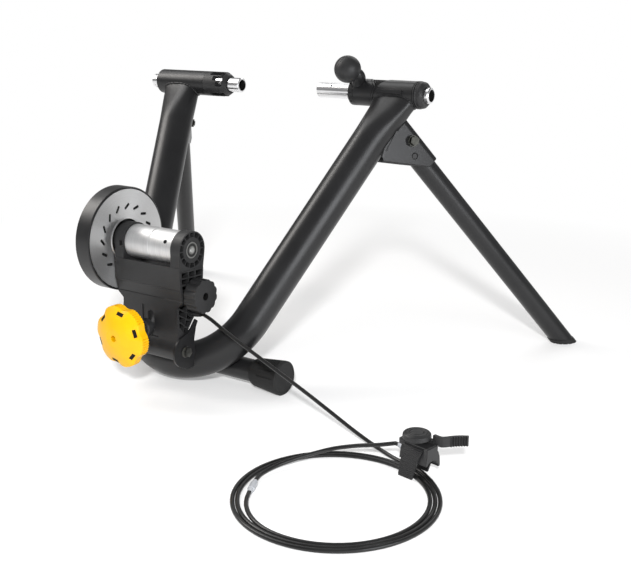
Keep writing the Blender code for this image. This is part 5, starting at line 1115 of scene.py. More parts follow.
def make_right_clamp():
    """Plunger rod that the lever's V cam pushes inward, with its cam collar, lever and ball."""
    inner = RIGHT_ROD_INNER_X
    outer = RIGHT_ROD_OUTER_X
    chamfer = 0.0016
    hole = ROD_END_HOLE_RADIUS
    profile = [(0, outer - 0.012), (hole, outer - 0.012), (hole, outer), (ROD_RADIUS - chamfer, outer),
               (ROD_RADIUS, outer - chamfer), (ROD_RADIUS, inner + chamfer), (ROD_RADIUS - chamfer, inner),
               (CUP_RADIUS, inner), (CUP_RADIUS, inner + CUP_DEPTH), (0, inner + CUP_DEPTH)]
    finish(turned("right_plunger_rod", profile, at_axle(), steps=16), "machined_aluminium", "plunger")
    # Painted shade: a dead-black disc in the rod's surface that stands for a small hole
    finish(rod("rod_pin", 0.0016, ROD_RADIUS - 0.003, ROD_RADIUS + 0.0001, round_axle(46, inner + 0.026)),
           "deep_black", "plunger")
    # Painted shade: black skins inside the rod's end hole and cup
    hole_shade_lining("right_hole_lining", hole, outer - 0.012, outer - 0.0008, at_axle(), "plunger")
    hole_shade_lining("right_cup_lining", CUP_RADIUS, inner + CUP_DEPTH, inner + 0.0008, at_axle(), "plunger")

    finish(cam_tube("right_cam_collar", lambda angle: CAM_COLLAR_X, cam_edge(COLLAR_CAM, CAM_GAP + 0.0038),
                    SLEEVE_RADIUS, ROD_BORE), "powder_coat_black", "lever", edge=CAM_ROUNDING)
    # Painted shade: a dead-black piece under the cam rim's notch
    finish(cam_tube("collar_insert", cam_edge(COLLAR_CAM, CAM_GAP + 0.0010), cam_edge(NOTCH_SHADE_CAM, CAM_GAP),
                    SLEEVE_RADIUS - NOTCH_SHADE_STEP, ROD_BORE + 0.0004), "deep_black", "lever")
    finish(cam_tube("cam_rim", cam_edge(COLLAR_CAM, CAM_GAP + 0.0036), cam_edge(COLLAR_CAM, CAM_GAP),
                    SLEEVE_RADIUS, ROD_BORE), "powder_coat_black", "lever", edge=CAM_ROUNDING)

    high = CAM_COLLAR_X - SEAT_GAP
    ring_profile = [(SLEEVE_RADIUS, high), (SLEEVE_RADIUS, LEVER_RING_X + 0.0015),
                    (SLEEVE_RADIUS - 0.0015, LEVER_RING_X), (ROD_BORE, LEVER_RING_X), (ROD_BORE, high)]
    ring = turned("clamp_lever", ring_profile, at_axle(), hollow=True, steps=24)
    slits = [box("slit", (LEVER_RING_X - 0.001, -0.0010, SLEEVE_RADIUS - 0.0030),
                 (LEVER_RING_X + 0.0070, 0.0010, SLEEVE_RADIUS + 0.002), round_axle(40 * i + 10))
             for i in range(9)]
    cut(ring, together("slits", slits))
    arm = cut(lever_arm("arm", 0),
              rod("collar_room", SLEEVE_RADIUS + SEAT_GAP, high - 0.0001, CAM_TIP_X, at_axle(), steps=28),
              rod("rod_room", ROD_BORE + 0.003, LEVER_RING_X - 0.02, CAM_TIP_X, at_axle(), steps=28))
    finish(join(ring, arm), "powder_coat_black", "lever")

    bm = bmesh.new()
    bmesh.ops.create_uvsphere(bm, u_segments=64, v_segments=40, radius=BALL_RADIUS)
    place = at(BALL_X, BALL_Y, AXLE_HEIGHT + BALL_Z) @ rotation(math.radians(-62), "Y")
    ball = from_bmesh("ball_knob", bm, place)
    cut(ball, *(pipe("seam", BALL_RADIUS + 0.001, math.sqrt(BALL_RADIUS ** 2 - level ** 2) - 0.0004,
                     level - 0.0004, level + 0.0004, place) for level in (0.0075, 0.0125)))
    finish(cut(ball, lever_arm("arm_room", SEAT_GAP)), "plastic_black", "lever")


# Pivot bracket on the bend

def make_pivot_bracket():
    """Sheet channel on the bend: two ears with rounded pivots and pointed fins, and a web with a tab."""
    inner = HOUSING_LOW_HALF_WIDTH + EAR_GAP
    unit = EAR_RADIUS / 22

    def placed(points):
        return [(PIVOT_Y + y * unit, PIVOT_Z + z * unit) for y, z in points]

    outline = (placed([(27.6, 37.4), (23.4, 40.8), (14.8, 31.1), (7.1, 24.9)])
               + arc((PIVOT_Y, PIVOT_Z), EAR_RADIUS, 100, 235, 8)
               + placed([(2.0, -26.0), (31.0, -26.0), (20.5, -4.0), (18.8, 12.0), (23.5, 30.0)]))
    hole = [polar(PIVOT_BOLT_RADIUS + BORE_GAP, a, (PIVOT_Y, PIVOT_Z)) for a in turns(HOLE_POINTS)]
    ears = [plate("ear", outline, EAR_SHEET, side_plane(side * (inner + EAR_SHEET / 2)), holes=[hole])
            for side in (-1, 1)]
    web = plate("pivot_bracket", placed([(18.8, 12.0), (21.8, 12.0), (24.5, -26.0), (21.5, -26.0)]),
                2 * inner + 0.001, side_plane())
    tab = box("tab", (-2.75 * BOLT_RADIUS, PIVOT_Y + 18.8 * unit, PIVOT_Z + 4 * unit),
              (2.75 * BOLT_RADIUS, PIVOT_Y + 23.0 * unit, BOLT_Z + 2.5 * BOLT_RADIUS))
    join(web, *ears, tab)
    bolt_hole = rod("bolt_hole", BOLT_RADIUS + SEAT_GAP, -0.02, 0.04, along_rear(0, PIVOT_Y + 0.02, BOLT_Z))
    finish(cut(web, frame_clearance(), bolt_hole), "powder_coat_black")


def make_pivot_bolt():
    # Lighter steel: painted glints on the bolt
    through_bolt("pivot_bolt", PIVOT_BOLT_RADIUS, HOUSING_LOW_HALF_WIDTH + EAR_GAP + EAR_SHEET + SEAT_GAP,
                 1.7 * PIVOT_BOLT_RADIUS, along_x(0, PIVOT_Y, PIVOT_Z), "grey_steel")


# Resistance unit housing

FRONT_EDGE = [(PIVOT_Z + z, PIVOT_Y + y) for z, y in (
    (0.002, 0.0145), (0.016, 0.0128), (0.028, 0.0120), (0.045, 0.0260), (0.078, 0.0320), (0.110, 0.0355))]


def front_y(z):
    """Y of the housing's front edge at a height."""
    if z <= FRONT_EDGE[0][0]:
        return FRONT_EDGE[0][1]
    for (low, y_low), (high, y_high) in zip(FRONT_EDGE, FRONT_EDGE[1:]):
        if z <= high:
            return blend(y_low, y_high, (z - low) / (high - low))
    return FRONT_EDGE[-1][1]


def rear_y(z):
    """Y of the housing's rear face at a height: a flat upper block, a slope and a lower part set back."""
    share = (HOUSING_CREASE_Z - z) / (HOUSING_CREASE_Z - HOUSING_LOW_TOP_Z)
    return blend(HOUSING_REAR_Y, HOUSING_LOW_REAR_Y, min(max(share, 0), 1))


def pocket(low, high, rear_share, front_share, inner, half_width, side, fall):
    """One cored cell between two curved ribs, cut in from one side; the ribs fall toward the front."""
    points = []
    steps = range(POCKET_STEPS + 1)
    for level, order in ((low, steps), (high, reversed(steps))):
        for i in order:
            share = blend(rear_share, front_share, i / POCKET_STEPS)
            z = level - fall * math.sin(math.pi / 2 * share)
            points.append((blend(rear_y(z) + HOUSING_WALL, front_y(z) - 0.7 * HOUSING_WALL, share), z))
    depth = half_width + 0.002 - inner
    return plate("pocket", points, depth, side_plane(side * (inner + depth / 2)))


def housing_pockets():
    """Cells in rows: low and high level, rib fall, columns, innermost X, half width and sides."""
    core = CAVITY_HALF_WIDTH + HOUSING_WALL
    shallow = YOKE_INNER_X + 0.0040
    rows = [(0.0350 + 0.0092 * i, 0.0420 + 0.0092 * i, RIB_FALL, 2, core, HOUSING_LOW_HALF_WIDTH, (-1, 1))
            for i in range(4)]
    rows += [(0.0735, 0.0950, 0.002, 2, core, HOUSING_HALF_WIDTH, (-1, 1)),
             (0.0978, 0.1045, 0.002, 3, shallow, HOUSING_HALF_WIDTH, (1,)),
             (0.1067, 0.1134, 0.002, 3, shallow, HOUSING_HALF_WIDTH, (1,))]
    gap = RIB_SHEET / 2 / 0.036
    return together("pockets", [
        pocket(PIVOT_Z + low, PIVOT_Z + high, i / columns + (gap if i else 0),
               (i + 1) / columns - (gap if i < columns - 1 else 0), inner, half_width, side, fall)
        for low, high, fall, columns, inner, half_width, sides in rows
        for side in sides for i in range(columns)])


def ring_cells():
    """Shallow cells between radial ribs round the right yoke ring's outer face."""
    cells = []
    spread = math.degrees(math.pi / RING_CELL_COUNT) - 2.2
    for i in range(RING_CELL_COUNT):
        start = 360 * (i + 0.4) / RING_CELL_COUNT - spread
        end = start + 2 * spread
        outline = (arc((ROLLER_Y, ROLLER_Z), YOKE_RING_RADIUS - 0.0019, start, end, 3)
                   + arc((ROLLER_Y, ROLLER_Z), YOKE_RING_RADIUS - 0.0082, end, start, 3))
        cells.append(plate("cell", outline, 0.012, side_plane(YOKE_OUTER_X)))
    return together("ring_cells", cells)


def make_housing():
    """Cored yoke: rear wall, ribbed sides, cavity for the tension bolt, pivot barrel and bearing rings."""
    rear = HOUSING_REAR_Y
    low_rear = HOUSING_LOW_REAR_Y
    arm_foot = PIVOT_Z + 0.098
    yoke_floor = FRONT_EDGE[-1][0]
    ledge = 0.0008
    outline = [(FRONT_EDGE[-1][1], HOUSING_TOP_Z), (rear, HOUSING_TOP_Z), (rear, HOUSING_CREASE_Z + ledge),
               (rear + ledge, HOUSING_CREASE_Z), (low_rear + ledge, HOUSING_LOW_TOP_Z + ledge),
               (low_rear, HOUSING_LOW_TOP_Z), (low_rear, PIVOT_Z + PIVOT_BARREL_RADIUS),
               *arc((PIVOT_Y, PIVOT_Z), PIVOT_BARREL_RADIUS, 150, 360, 8),
               *[(y, z) for z, y in FRONT_EDGE]]
    body = plate("unit_housing", outline, 2 * HOUSING_HALF_WIDTH, side_plane())
    outside = HOUSING_HALF_WIDTH + 0.01
    slope = HOUSING_STEP_HEIGHT / (HOUSING_HALF_WIDTH - HOUSING_LOW_HALF_WIDTH)
    step_end = HOUSING_STEP_Z + slope * (outside - HOUSING_LOW_HALF_WIDTH)
    for side in (-1, 1):
        low = side * HOUSING_LOW_HALF_WIDTH
        high = side * outside
        steps = [(low, -0.1), (high, -0.1), (high, step_end), (low, HOUSING_STEP_Z)]
        cut(body, plate("side_step", steps, 0.2, along_rear(0, PIVOT_Y, 0)))
    arm = [*arc((ROLLER_Y, ROLLER_Z), YOKE_RING_RADIUS, -10, 190, 15), (rear + 0.0002, arm_foot + 0.016),
           (rear + 0.0002, arm_foot), (front_y(arm_foot), arm_foot), (front_y(yoke_floor), yoke_floor)]
    arms = [plate("arm", arm, YOKE_WIDTH, side_plane(side * (YOKE_INNER_X + YOKE_WIDTH / 2)))
            for side in (-1, 1)]
    between = rod("roller_room", ROLLER_RADIUS + 0.0018, -YOKE_INNER_X, YOKE_INNER_X, at_roller(), steps=28)
    above = box("yoke_room", (-YOKE_INNER_X, rear + HOUSING_WALL, yoke_floor),
                (YOKE_INNER_X, ROLLER_Y + 0.05, ROLLER_Z))
    over_arms = [box("arm_side", (side * YOKE_OUTER_X, ROLLER_Y - 0.05, yoke_floor + 0.004),
                     (side * outside, ROLLER_Y + 0.05, ROLLER_Z)) for side in (-1, 1)]
    cut(body, between, above, *over_arms)
    join(body, *arms)
    cavity = box("cavity", (-CAVITY_HALF_WIDTH, low_rear + HOUSING_WALL + 0.0005, BOLT_Z - 0.0135),
                 (CAVITY_HALF_WIDTH, PIVOT_Y + 0.06, yoke_floor - 0.006))
    slot = (arc((0, BOLT_Z + 0.0160), SLOT_HALF_WIDTH, 0, 180, 6)
            + arc((0, BOLT_Z - 0.0040), SLOT_HALF_WIDTH, 180, 360, 6))
    opening = plate("slot", slot, 0.03, along_rear(0, low_rear, 0))
    recess = box("recess", (-0.0145, low_rear - 0.001, BOLT_Z - 0.0145),
                 (0.0140, low_rear + RECESS_DEPTH, BOLT_Z + 0.0290))
    cut(body, housing_pockets(), cavity, opening, recess)
    at_knob = along_x(0, SIDE_KNOB_Y, SIDE_KNOB_Z)
    at_pivot = along_x(0, PIVOT_Y, PIVOT_Z)
    barrel = HOUSING_LOW_HALF_WIDTH + EAR_GAP - SEAT_GAP
    join(body, rod("boss", 0.0095, CAVITY_HALF_WIDTH + 0.001, HOUSING_HALF_WIDTH, at_knob),
         rod("gland_boss", GLAND_RADIUS + 0.002, CAVITY_HALF_WIDTH + 0.001, HOUSING_LOW_HALF_WIDTH,
             along_x(0, GLAND_Y, GLAND_Z)),
         rod("barrel", PIVOT_BARREL_RADIUS, -barrel, barrel, at_pivot, steps=22))
    bores = [rod("pivot_bore", PIVOT_BOLT_RADIUS + BORE_GAP, -outside, outside, at_pivot),
             rod("knob_bore", SIDE_BOLT_RADIUS + BORE_GAP, HOUSING_HALF_WIDTH / 2, outside, at_knob,
                 steps=16),
             rod("shaft_bore", SHAFT_RADIUS + 0.0030, -outside, outside, at_roller())]
    seat = YOKE_OUTER_X - BEARING_WIDTH - SEAT_GAP
    bores += [rod("bearing_seat", BEARING_RADIUS + SEAT_GAP, *ends, at_roller())
              for ends in ((-outside, -seat), (seat, outside))]
    notch = box("notch", (-YOKE_INNER_X - 0.0072, rear - 0.002, ROLLER_Z - 0.0030),
                (-YOKE_INNER_X - 0.0012, rear + 0.005, ROLLER_Z + 0.0040))
    finish(cut(body, *bores, ring_cells(), notch), "plastic_black", "unit")


# Roller, bearings and flywheel

def make_roller():
    half = YOKE_INNER_X - RUNNING_GAP
    bore = SHAFT_RADIUS + SEAT_GAP
    groove = 0.0008
    end = [(0.0120, half), (0.0120, half - 0.008), (0.0205, half - 0.008), (0.0205, half)]
    profile = [(bore, half), *end, (ROLLER_RADIUS, half), (ROLLER_RADIUS, groove),
               (ROLLER_RADIUS - groove, 0), (ROLLER_RADIUS, -groove), (ROLLER_RADIUS, -half),
               *[(r, -z) for r, z in reversed(end)], (bore, -half)]
    finish(turned("roller_drum", profile, at_roller(), hollow=True, steps=22), "drum_aluminium", "roller")
    # Painted shade: a dead-black disc in the drum's surface that stands for its screw hole
    hole = at(0.71 * half, ROLLER_Y, ROLLER_Z) @ rotation(math.radians(60), "X")
    finish(rod("drum_screw", 0.0028, ROLLER_RADIUS - 0.002, ROLLER_RADIUS + 0.0001, hole), "deep_black",
           "roller")

    lip = 0.0004
    outer = BEARING_RADIUS
    high = YOKE_OUTER_X
    low = high - BEARING_WIDTH
    race = [(bore, high), (bore + 0.0012, high), (bore + 0.0014, high - lip), (outer - 0.0016, high - lip),
            (outer - 0.0014, high), (outer, high), (outer, low), (bore, low)]
    finish(turned("bearing_right", race, at_roller(), hollow=True, steps=14), "bearing_steel", "unit")


def make_flywheel():
    """Black cup with its end wall on the shaft and a silver vented disc pressed in its mouth."""
    face = FLYWHEEL_FACE_X
    end = face - FLYWHEEL_WIDTH
    seat = FLYWHEEL_RADIUS - FLYWHEEL_RIM_WALL
    bore = SHAFT_RADIUS + SEAT_GAP
    wall_in = end + FLYWHEEL_END_WALL
    boss = 0.0100
    rim = [(seat, face), (FLYWHEEL_RADIUS - 0.0012, face), (FLYWHEEL_RADIUS, face - 0.0012),
           (FLYWHEEL_RADIUS, end + 0.002), (FLYWHEEL_RADIUS - 0.002, end), (bore, end),
           (bore, wall_in + 0.003), (boss, wall_in + 0.003), (boss, wall_in), (seat, wall_in)]
    finish(turned("flywheel_rim", rim, at_roller(), hollow=True, steps=36), "powder_coat_black", "roller")

    disc_radius = seat - SEAT_GAP
    lip = 0.0007
    front = [(FACE_BORE_RADIUS, face + lip), (FACE_BORE_RADIUS + 0.0011, face + lip),
             (FACE_BORE_RADIUS + 0.0018, face), (disc_radius, face), (disc_radius, face - 0.0012),
             (FACE_BORE_RADIUS, face - 0.0012)]
    disc = turned("flywheel_face", front, at_roller(), hollow=True, steps=36)
    # Painted shade: a dead-black ring behind the disc that darkens what shows through the vents
    finish(pipe("face_backing", disc_radius, FACE_BORE_RADIUS + 0.0004, face - FACE_THICKNESS, face - 0.0014,
                at_roller(), steps=36), "deep_black", "roller")
    half = VENT_LENGTH / 2 - VENT_WIDTH / 2
    outline = arc((half, 0), VENT_WIDTH / 2, -60, 60, 2) + arc((-half, 0), VENT_WIDTH / 2, 120, 240, 2)
    out = at(VENT_RADIUS, 0, face) @ rotation(VENT_SLANT, "Z")
    vents = [plate("vent", outline, 0.02, at_roller() @ rotation(a + VENT_PHASE, "Z") @ out)
             for a in turns(VENT_COUNT)]
    finish(cut(disc, together("vents", vents)), "faced_aluminium", "roller")


# Side knob and cable gland

def make_side_knob():
    axis = along_x(0, SIDE_KNOB_Y, SIDE_KNOB_Z)
    flange = HOUSING_HALF_WIDTH + SEAT_GAP
    start = flange + 0.0018 + SEAT_GAP
    outline = []
    for a in turns(SIDE_KNOB_FLUTES * SIDE_KNOB_FLUTE_POINTS):
        dip = 0.5 - 0.5 * math.cos(SIDE_KNOB_FLUTES * a)
        outline.append(polar(SIDE_KNOB_RADIUS - SIDE_KNOB_FLUTE_DEPTH * (1 - dip ** 0.5), a))
    knob = plate("side_knob", outline, SIDE_KNOB_LENGTH, axis @ at(0, 0, start + SIDE_KNOB_LENGTH / 2))
    round_edges(knob, 0.0010, segments=1, angle=60)
    hole = rod("hole", SIDE_BOLT_RADIUS + BORE_GAP, 0, 0.1, axis, steps=20)
    end = start + SIDE_KNOB_LENGTH - 0.008
    mouth = rod("mouth", SIDE_KNOB_HOLE_RADIUS, end, start + 2 * SIDE_KNOB_LENGTH, axis)
    finish(cut(knob, hole, mouth), "plastic_black", "side_knob", edge=0.0003)
    # Painted shade: black skin inside the knob's mouth
    hole_shade_lining("knob_hole_lining", SIDE_KNOB_HOLE_RADIUS, end, start + SIDE_KNOB_LENGTH - 0.0006, axis,
                "side_knob")

    bolt = rod("side_knob_bolt", SIDE_BOLT_RADIUS, HOUSING_HALF_WIDTH / 2 + 0.0005, end - 0.001, axis,
               steps=20)
    washer = rod("washer", 0.0135, flange, flange + 0.0018, axis)
    # Darker steel: painted shade on the bolt and washer
    finish(join(bolt, washer), "dark_steel", "unit")


def make_gland():
    """Stepped strain relief with a hex foot where the cable leaves the housing."""
    low = HOUSING_LOW_HALF_WIDTH + SEAT_GAP
    profile = [(0, GLAND_END_X), (GLAND_RADIUS - 0.0014, GLAND_END_X), (GLAND_RADIUS, low + 0.008),
               (GLAND_RADIUS, low), (0, low)]
    place = along_x(0, GLAND_Y, GLAND_Z)
    gland = turned("cable_gland", profile, place, steps=20)
    foot = rod("foot", GLAND_RADIUS + 0.0012, low, low + 0.004, place, steps=6)
    finish(join(gland, foot), "plastic_black", "unit")


# Tension bolt and knob

def make_tension():
    axis = along_rear(0, 0, BOLT_Z)
    bore = BOLT_RADIUS + BORE_GAP
    nose = -HOUSING_LOW_REAR_Y - RECESS_DEPTH + SEAT_GAP
    cup = -HOUSING_REAR_Y + 0.004
    stem = -KNOB_BASE_Y + 0.0015
    end = stem + 0.012
    core = [(bore, end), (CORE_STEM_RADIUS, end), (CORE_STEM_RADIUS, stem), (CORE_RADIUS, stem),
            (CORE_RADIUS, stem - 0.006), (CORE_RADIUS - 0.0015, stem - 0.008),
            (CORE_RADIUS - 0.0015, cup + 0.010), (CORE_RADIUS, cup + 0.008), (CORE_RADIUS, cup),
            (CORE_NOSE_RADIUS, cup), (CORE_NOSE_RADIUS, nose), (bore, nose)]
    finish(turned("tension_knob_core", core, axis, hollow=True, steps=16), "plastic_black", "tension_core")

    rear = -KNOB_REAR_Y
    rim = -KNOB_RIM_Y
    base = -KNOB_BASE_Y
    rise = rear - rim
    inside = KNOB_RADIUS - KNOB_WALL
    deep = end + 0.001
    # Radius, height and scallop depth down the outside, then back up the inside
    crown = [Vector((radius * KNOB_RADIUS, rear - fall * rise, scallop * KNOB_SCALLOP))
             for radius, fall, scallop in ((0.28, 0, 0), (0.36, 0.05, 0), (0.58, 0.26, 0.1),
                                           (0.78, 0.55, 0.4), (0.92, 0.82, 0.8), (1, 1, 1))]
    profile = [(bore, rear, 0), *smooth_route(crown, 0.0012), (KNOB_RADIUS, base, KNOB_SCALLOP),
               (inside, base, KNOB_SCALLOP), (inside, rim, KNOB_SCALLOP),
               (0.78 * KNOB_RADIUS, rim - 0.02 * rise, 0.5 * KNOB_SCALLOP),
               (0.56 * KNOB_RADIUS, rear - 0.62 * rise, 0.2 * KNOB_SCALLOP),
               (CORE_RADIUS + 0.003, rim, 0), (CORE_RADIUS, stem + SEAT_GAP, 0),
               (CORE_STEM_RADIUS + BORE_GAP, stem + SEAT_GAP, 0), (CORE_STEM_RADIUS + BORE_GAP, deep, 0),
               (bore, deep, 0)]
    rings = []
    for radius, height, scallop in profile:
        flank = radius > 0.97 * KNOB_RADIUS and height < rim + 0.0001
        ring = []
        for i, a in enumerate(turns(KNOB_LOBES * KNOB_LOBE_POINTS)):
            dip = (0.5 + 0.5 * math.cos(KNOB_LOBES * a)) ** 2.4
            grip = 0.0009 * (flank and dip < 0.2 and i % 6 < 2)
            ring.append((*polar(radius - scallop * dip - grip, a), height))
        rings.append(ring)
    axis = axis @ rotation(KNOB_PHASE, "Z")
    knob = ringed("tension_knob", rings, axis, closed=True)
    tilt = at(0.79 * KNOB_RADIUS, 0, rear - 0.66 * rise) @ rotation(math.radians(25), "Y")
    places = [axis @ rotation(a, "Z") @ tilt for a in turns(KNOB_LOBES)]
    slots = [box("slot", (-0.0025, -0.0055, -0.010), (0.0025, 0.0055, 0.010), place) for place in places]
    # Painted shade: dead-black floors in the slots
    slot_shade_boxes = [box("fill", (-0.0024, -0.0054, -0.003), (0.0024, 0.0054, 0.0002), place) for place in places]
    finish(cut(knob, together("slots", slots)), "plastic_yellow", "tension_knob")
    finish(together("knob_slot_floors", slot_shade_boxes), "deep_black", "tension_knob")


# Remote shifter

def remote_place(x=0, y=0, z=0):
    return at(REMOTE_X, REMOTE_Y, 0) @ rotation(REMOTE_YAW, "Z") @ at(x, y, z)


def strap_path():
    """Middle line (y, z) of the strap: up the front from the floor, over the saddle and down the back."""
    low = REMOTE_BLOCK_TOP - 0.0027
    return [(-0.0136, 0.0009), (-0.0137, 0.0080), (-0.0133, 0.0150), (-0.0124, 0.0220), (-0.0112, 0.0290),
            (-0.0098, low - 0.0049), (-0.0076, low - 0.0014), (-0.0045, low), (0.0045, low),
            (0.0085, low - 0.0015), (0.0120, low - 0.0054), (0.0148, 0.0270), (0.0156, 0.0200),
            (0.0156, 0.0120)]


def make_strap():
    """Band that hangs open from the saddle, wide on top and narrower where it stands on the floor."""
    hanging = [*strap_path(), (0.0152, 0.0065), (0.0146, 0.0012)]
    route = smooth_route([Vector((0, *point)) for point in hanging], STRAP_SPACING)
    path = [(point.y, point.z) for point in route]
    crest = beside(path, STRAP_THICKNESS / 2)
    valley = beside(path, STRAP_THICKNESS / 2 - STRAP_RIB)
    turn = 2 * math.pi * STRAP_SPACING / STRAP_RIB_PITCH
    outer = [Vector(low).lerp(Vector(high), 0.5 + 0.5 * math.cos(turn * i))
             for i, (low, high) in enumerate(zip(valley, crest))]
    inner = beside(path, -STRAP_THICKNESS / 2)
    top = max(z for y, z in path)
    rings = []
    for i, (y, z) in enumerate(path):
        share = z / top
        right = SADDLE_RIGHT_X - STRAP_GAP - STRAP_LEAN * (1 - share) - STRAP_GAP * (1 - share)
        left = right - blend(STRAP_LOW_WIDTH, STRAP_WIDTH, share)
        rings.append([(left, *outer[i]), (right, *outer[i]), (right, *inner[i]), (left, *inner[i])])
    finish(ringed("shifter_strap", rings, remote_place()), "webbing_black")


def make_remote_body():
    """Saddle on the bar, a cheek beside the strap, the plate over it and the boss of the cable port."""
    under = beside(strap_path(), -STRAP_THICKNESS / 2 - STRAP_GAP)
    saddle = [*arc((0, BAR_AXIS_Z), BAR_RADIUS, 5, 141, 13), (under[3][0], 0.0211), *under[4:13],
              (0.0141, 0.0150)]
    middle = (SADDLE_LEFT_X + CHEEK_END_X) / 2
    body = plate("shifter_body", saddle, CHEEK_END_X - SADDLE_LEFT_X, remote_place(middle) @ side_plane())
    cheek = box("cheek", (SADDLE_RIGHT_X, -0.0100, 0.0240), (CHEEK_END_X, 0.0105, REMOTE_BLOCK_TOP - 0.0004),
                remote_place())
    lid = box("lid", (SADDLE_LEFT_X + 0.0010, -0.0090, REMOTE_BLOCK_TOP - 0.0012),
              (CHEEK_END_X - 0.0010, 0.0090, REMOTE_BLOCK_TOP), remote_place())
    boss = box("boss", (SADDLE_LEFT_X - 0.0064, -0.0050, PORT_Z + PORT_RADIUS + 0.0008),
               (SADDLE_LEFT_X + 0.0040, 0.0050, REMOTE_BLOCK_TOP - 0.0003), remote_place())
    round_edges(cheek, 0.0012, segments=1)
    round_edges(boss, 0.0014, segments=2)
    finish(join(body, cheek, boss, lid), "plastic_black")


def port_place(x=0):
    """Mouth line of the cable port, from the saddle's left end outward."""
    return remote_place(SADDLE_LEFT_X - SEAT_GAP - x, 0, PORT_Z) @ rotation(-math.pi / 2, "Y")


def make_remote():
    """Bar clamp body with its strap, cap, thumb lever and cable port."""
    make_remote_body()
    make_strap()
    port = [(0, PORT_LENGTH), (PORT_RADIUS - 0.0012, PORT_LENGTH), (PORT_RADIUS - 0.0008, 0.0055),
            (PORT_RADIUS, 0.0050), (PORT_RADIUS, 0), (0, 0)]
    finish(turned("shifter_port", port, port_place(), steps=14), "plastic_grey")

    hub_low = REMOTE_BLOCK_TOP + SEAT_GAP
    hub_high = hub_low + THUMB_HUB_HEIGHT
    low = hub_high + SEAT_GAP
    high = low + CAP_HEIGHT
    cap = [(0, high), *[(radius, high - fall) for radius, fall in (
        (0.0076, 0), (0.0082, 0.0007), (0.0088, 0.0001), (0.0118, 0.0002), (0.0124, 0.0008), (0.0130, 0.0003),
        (CAP_RADIUS - 0.0015, 0.0010), (CAP_RADIUS - 0.0004, 0.0022), (CAP_RADIUS, 0.0042))],
           (CAP_RADIUS, low), (0, low)]
    finish(turned("shifter_cap", cap, remote_place(), steps=20), "plastic_black")

    hub = rod("thumb_lever", THUMB_HUB_RADIUS, hub_low, hub_high, remote_place(), steps=20)
    blade_low = hub_low - 0.0012
    blade_high = hub_high + THUMB_RISE
    blade = plate("paddle", thumb_outline(), blade_high - blade_low,
                  remote_place(0, 0, (blade_low + blade_high) / 2))
    arm = box("arm", (0.0080, 0.0050, hub_low), (0.0205, 0.0108, hub_high), remote_place())
    cut(blade, rod("body_room", 0.0262, 0.03, hub_low, remote_place(), steps=24))
    finish(join(hub, blade, arm), "plastic_black", "thumb")


def thumb_outline():
    """Top view of the curved paddle, with thumb ribs on its near face toward the tip."""
    route = smooth_route([Vector((*bend, 0)) for bend in THUMB_BENDS], 0.0004)
    flat = [(point.x, point.y) for point in route]
    last = len(flat) - 1
    near = []
    far = []
    for i in range(len(flat)):
        share = i / last
        half = blend(THUMB_SHEET / 2, 0.65 * THUMB_SHEET / 2, share)
        ribbed = max(0, (share - THUMB_RIB_START) / (1 - THUMB_RIB_START))
        rib = 0.0017 * (0.5 - 0.5 * math.cos(2 * math.pi * THUMB_RIBS * ribbed))
        near.append(beside(flat, -half - rib)[i])
        if i % 4 == 0 or i == last:
            far.append(beside(flat, half)[i])
    return near + far[::-1]


# Cable

def straight_ended(start, start_heading, middle, end, end_heading):
    """A smooth route whose two ends run straight for one cable diameter, square to what they meet."""
    inner = [start + start_heading * CABLE_STRAIGHT, *(Vector(point) for point in middle),
             end - end_heading * CABLE_STRAIGHT]
    return [start, *smooth_route(inner, 0.0035), end]


def wire(name, points, nodes, **facts):
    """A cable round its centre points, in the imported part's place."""
    shift = Vector((AXLE_MIDDLE_X, AXLE_MIDDLE_Y, 0))
    points = [point + shift for point in points]
    curve, spline = round_curve(name, points, CABLE_RADIUS, 5)
    spline.use_smooth = True
    curve.materials.append(MATERIALS["cable_black"])
    obj = linked(name, curve)
    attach(obj, "frame")
    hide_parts(*nodes)
    length = sum((b - a).length for a, b in zip(points, points[1:]))
    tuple(points[0])


def coil_point(sweep):
    """Flat spiral that winds inward clockwise, dips in at its end and rises to the barrel's height."""
    late = max(0, (sweep - COIL_SWEEP + COIL_DIP_SWEEP) / COIL_DIP_SWEEP)
    radius = COIL_RADIUS - COIL_PITCH * sweep / (2 * math.pi) - COIL_DIP * late ** 2
    rise = (BARREL_RADIUS - CABLE_RADIUS) * smooth_step(late * 1.3)
    return Vector((*polar(radius, COIL_START - sweep, (COIL_X, COIL_Y)), SEAT_GAP + CABLE_RADIUS + rise))


def coil_points():
    """The coil's points, with a straight length at both ends along the spiral's own heading there."""
    count = round(COIL_LOOP_POINTS * COIL_TURNS)
    points = [coil_point(COIL_SWEEP * i / count) for i in range(count + 1)]
    step = 0.001
    first = (points[0] - coil_point(step)).normalized()
    last = (points[-1] - coil_point(COIL_SWEEP - step)).normalized()
    return [points[0] + first * CABLE_STRAIGHT, *points, points[-1] + last * CABLE_STRAIGHT]


LEAD_ROUTE = [(0.0860, -0.2868, 0.1085), (0.1100, -0.2890, 0.0985),
              (0.1570, -0.2932, 0.0805), (0.2440, -0.3010, 0.0490), (0.2870, -0.3050, 0.0325),
              (0.3300, -0.3095, 0.0160), (0.3620, -0.3145, 0.0068), (0.3870, -0.3210, 0.0031),
              (0.4060, -0.3275, 0.0028), (0.4214, -0.3330, 0.0028), (0.4394, -0.3378, 0.0028)]
TAIL_ROUTE = [(0.2935, -0.4470, 0.0046), (0.2975, -0.4230, 0.0062), (0.3120, -0.3955, 0.0100),
              (0.3360, -0.3680, 0.0160), (0.3620, -0.3540, 0.0215), (0.3860, -0.3470, 0.0262)]


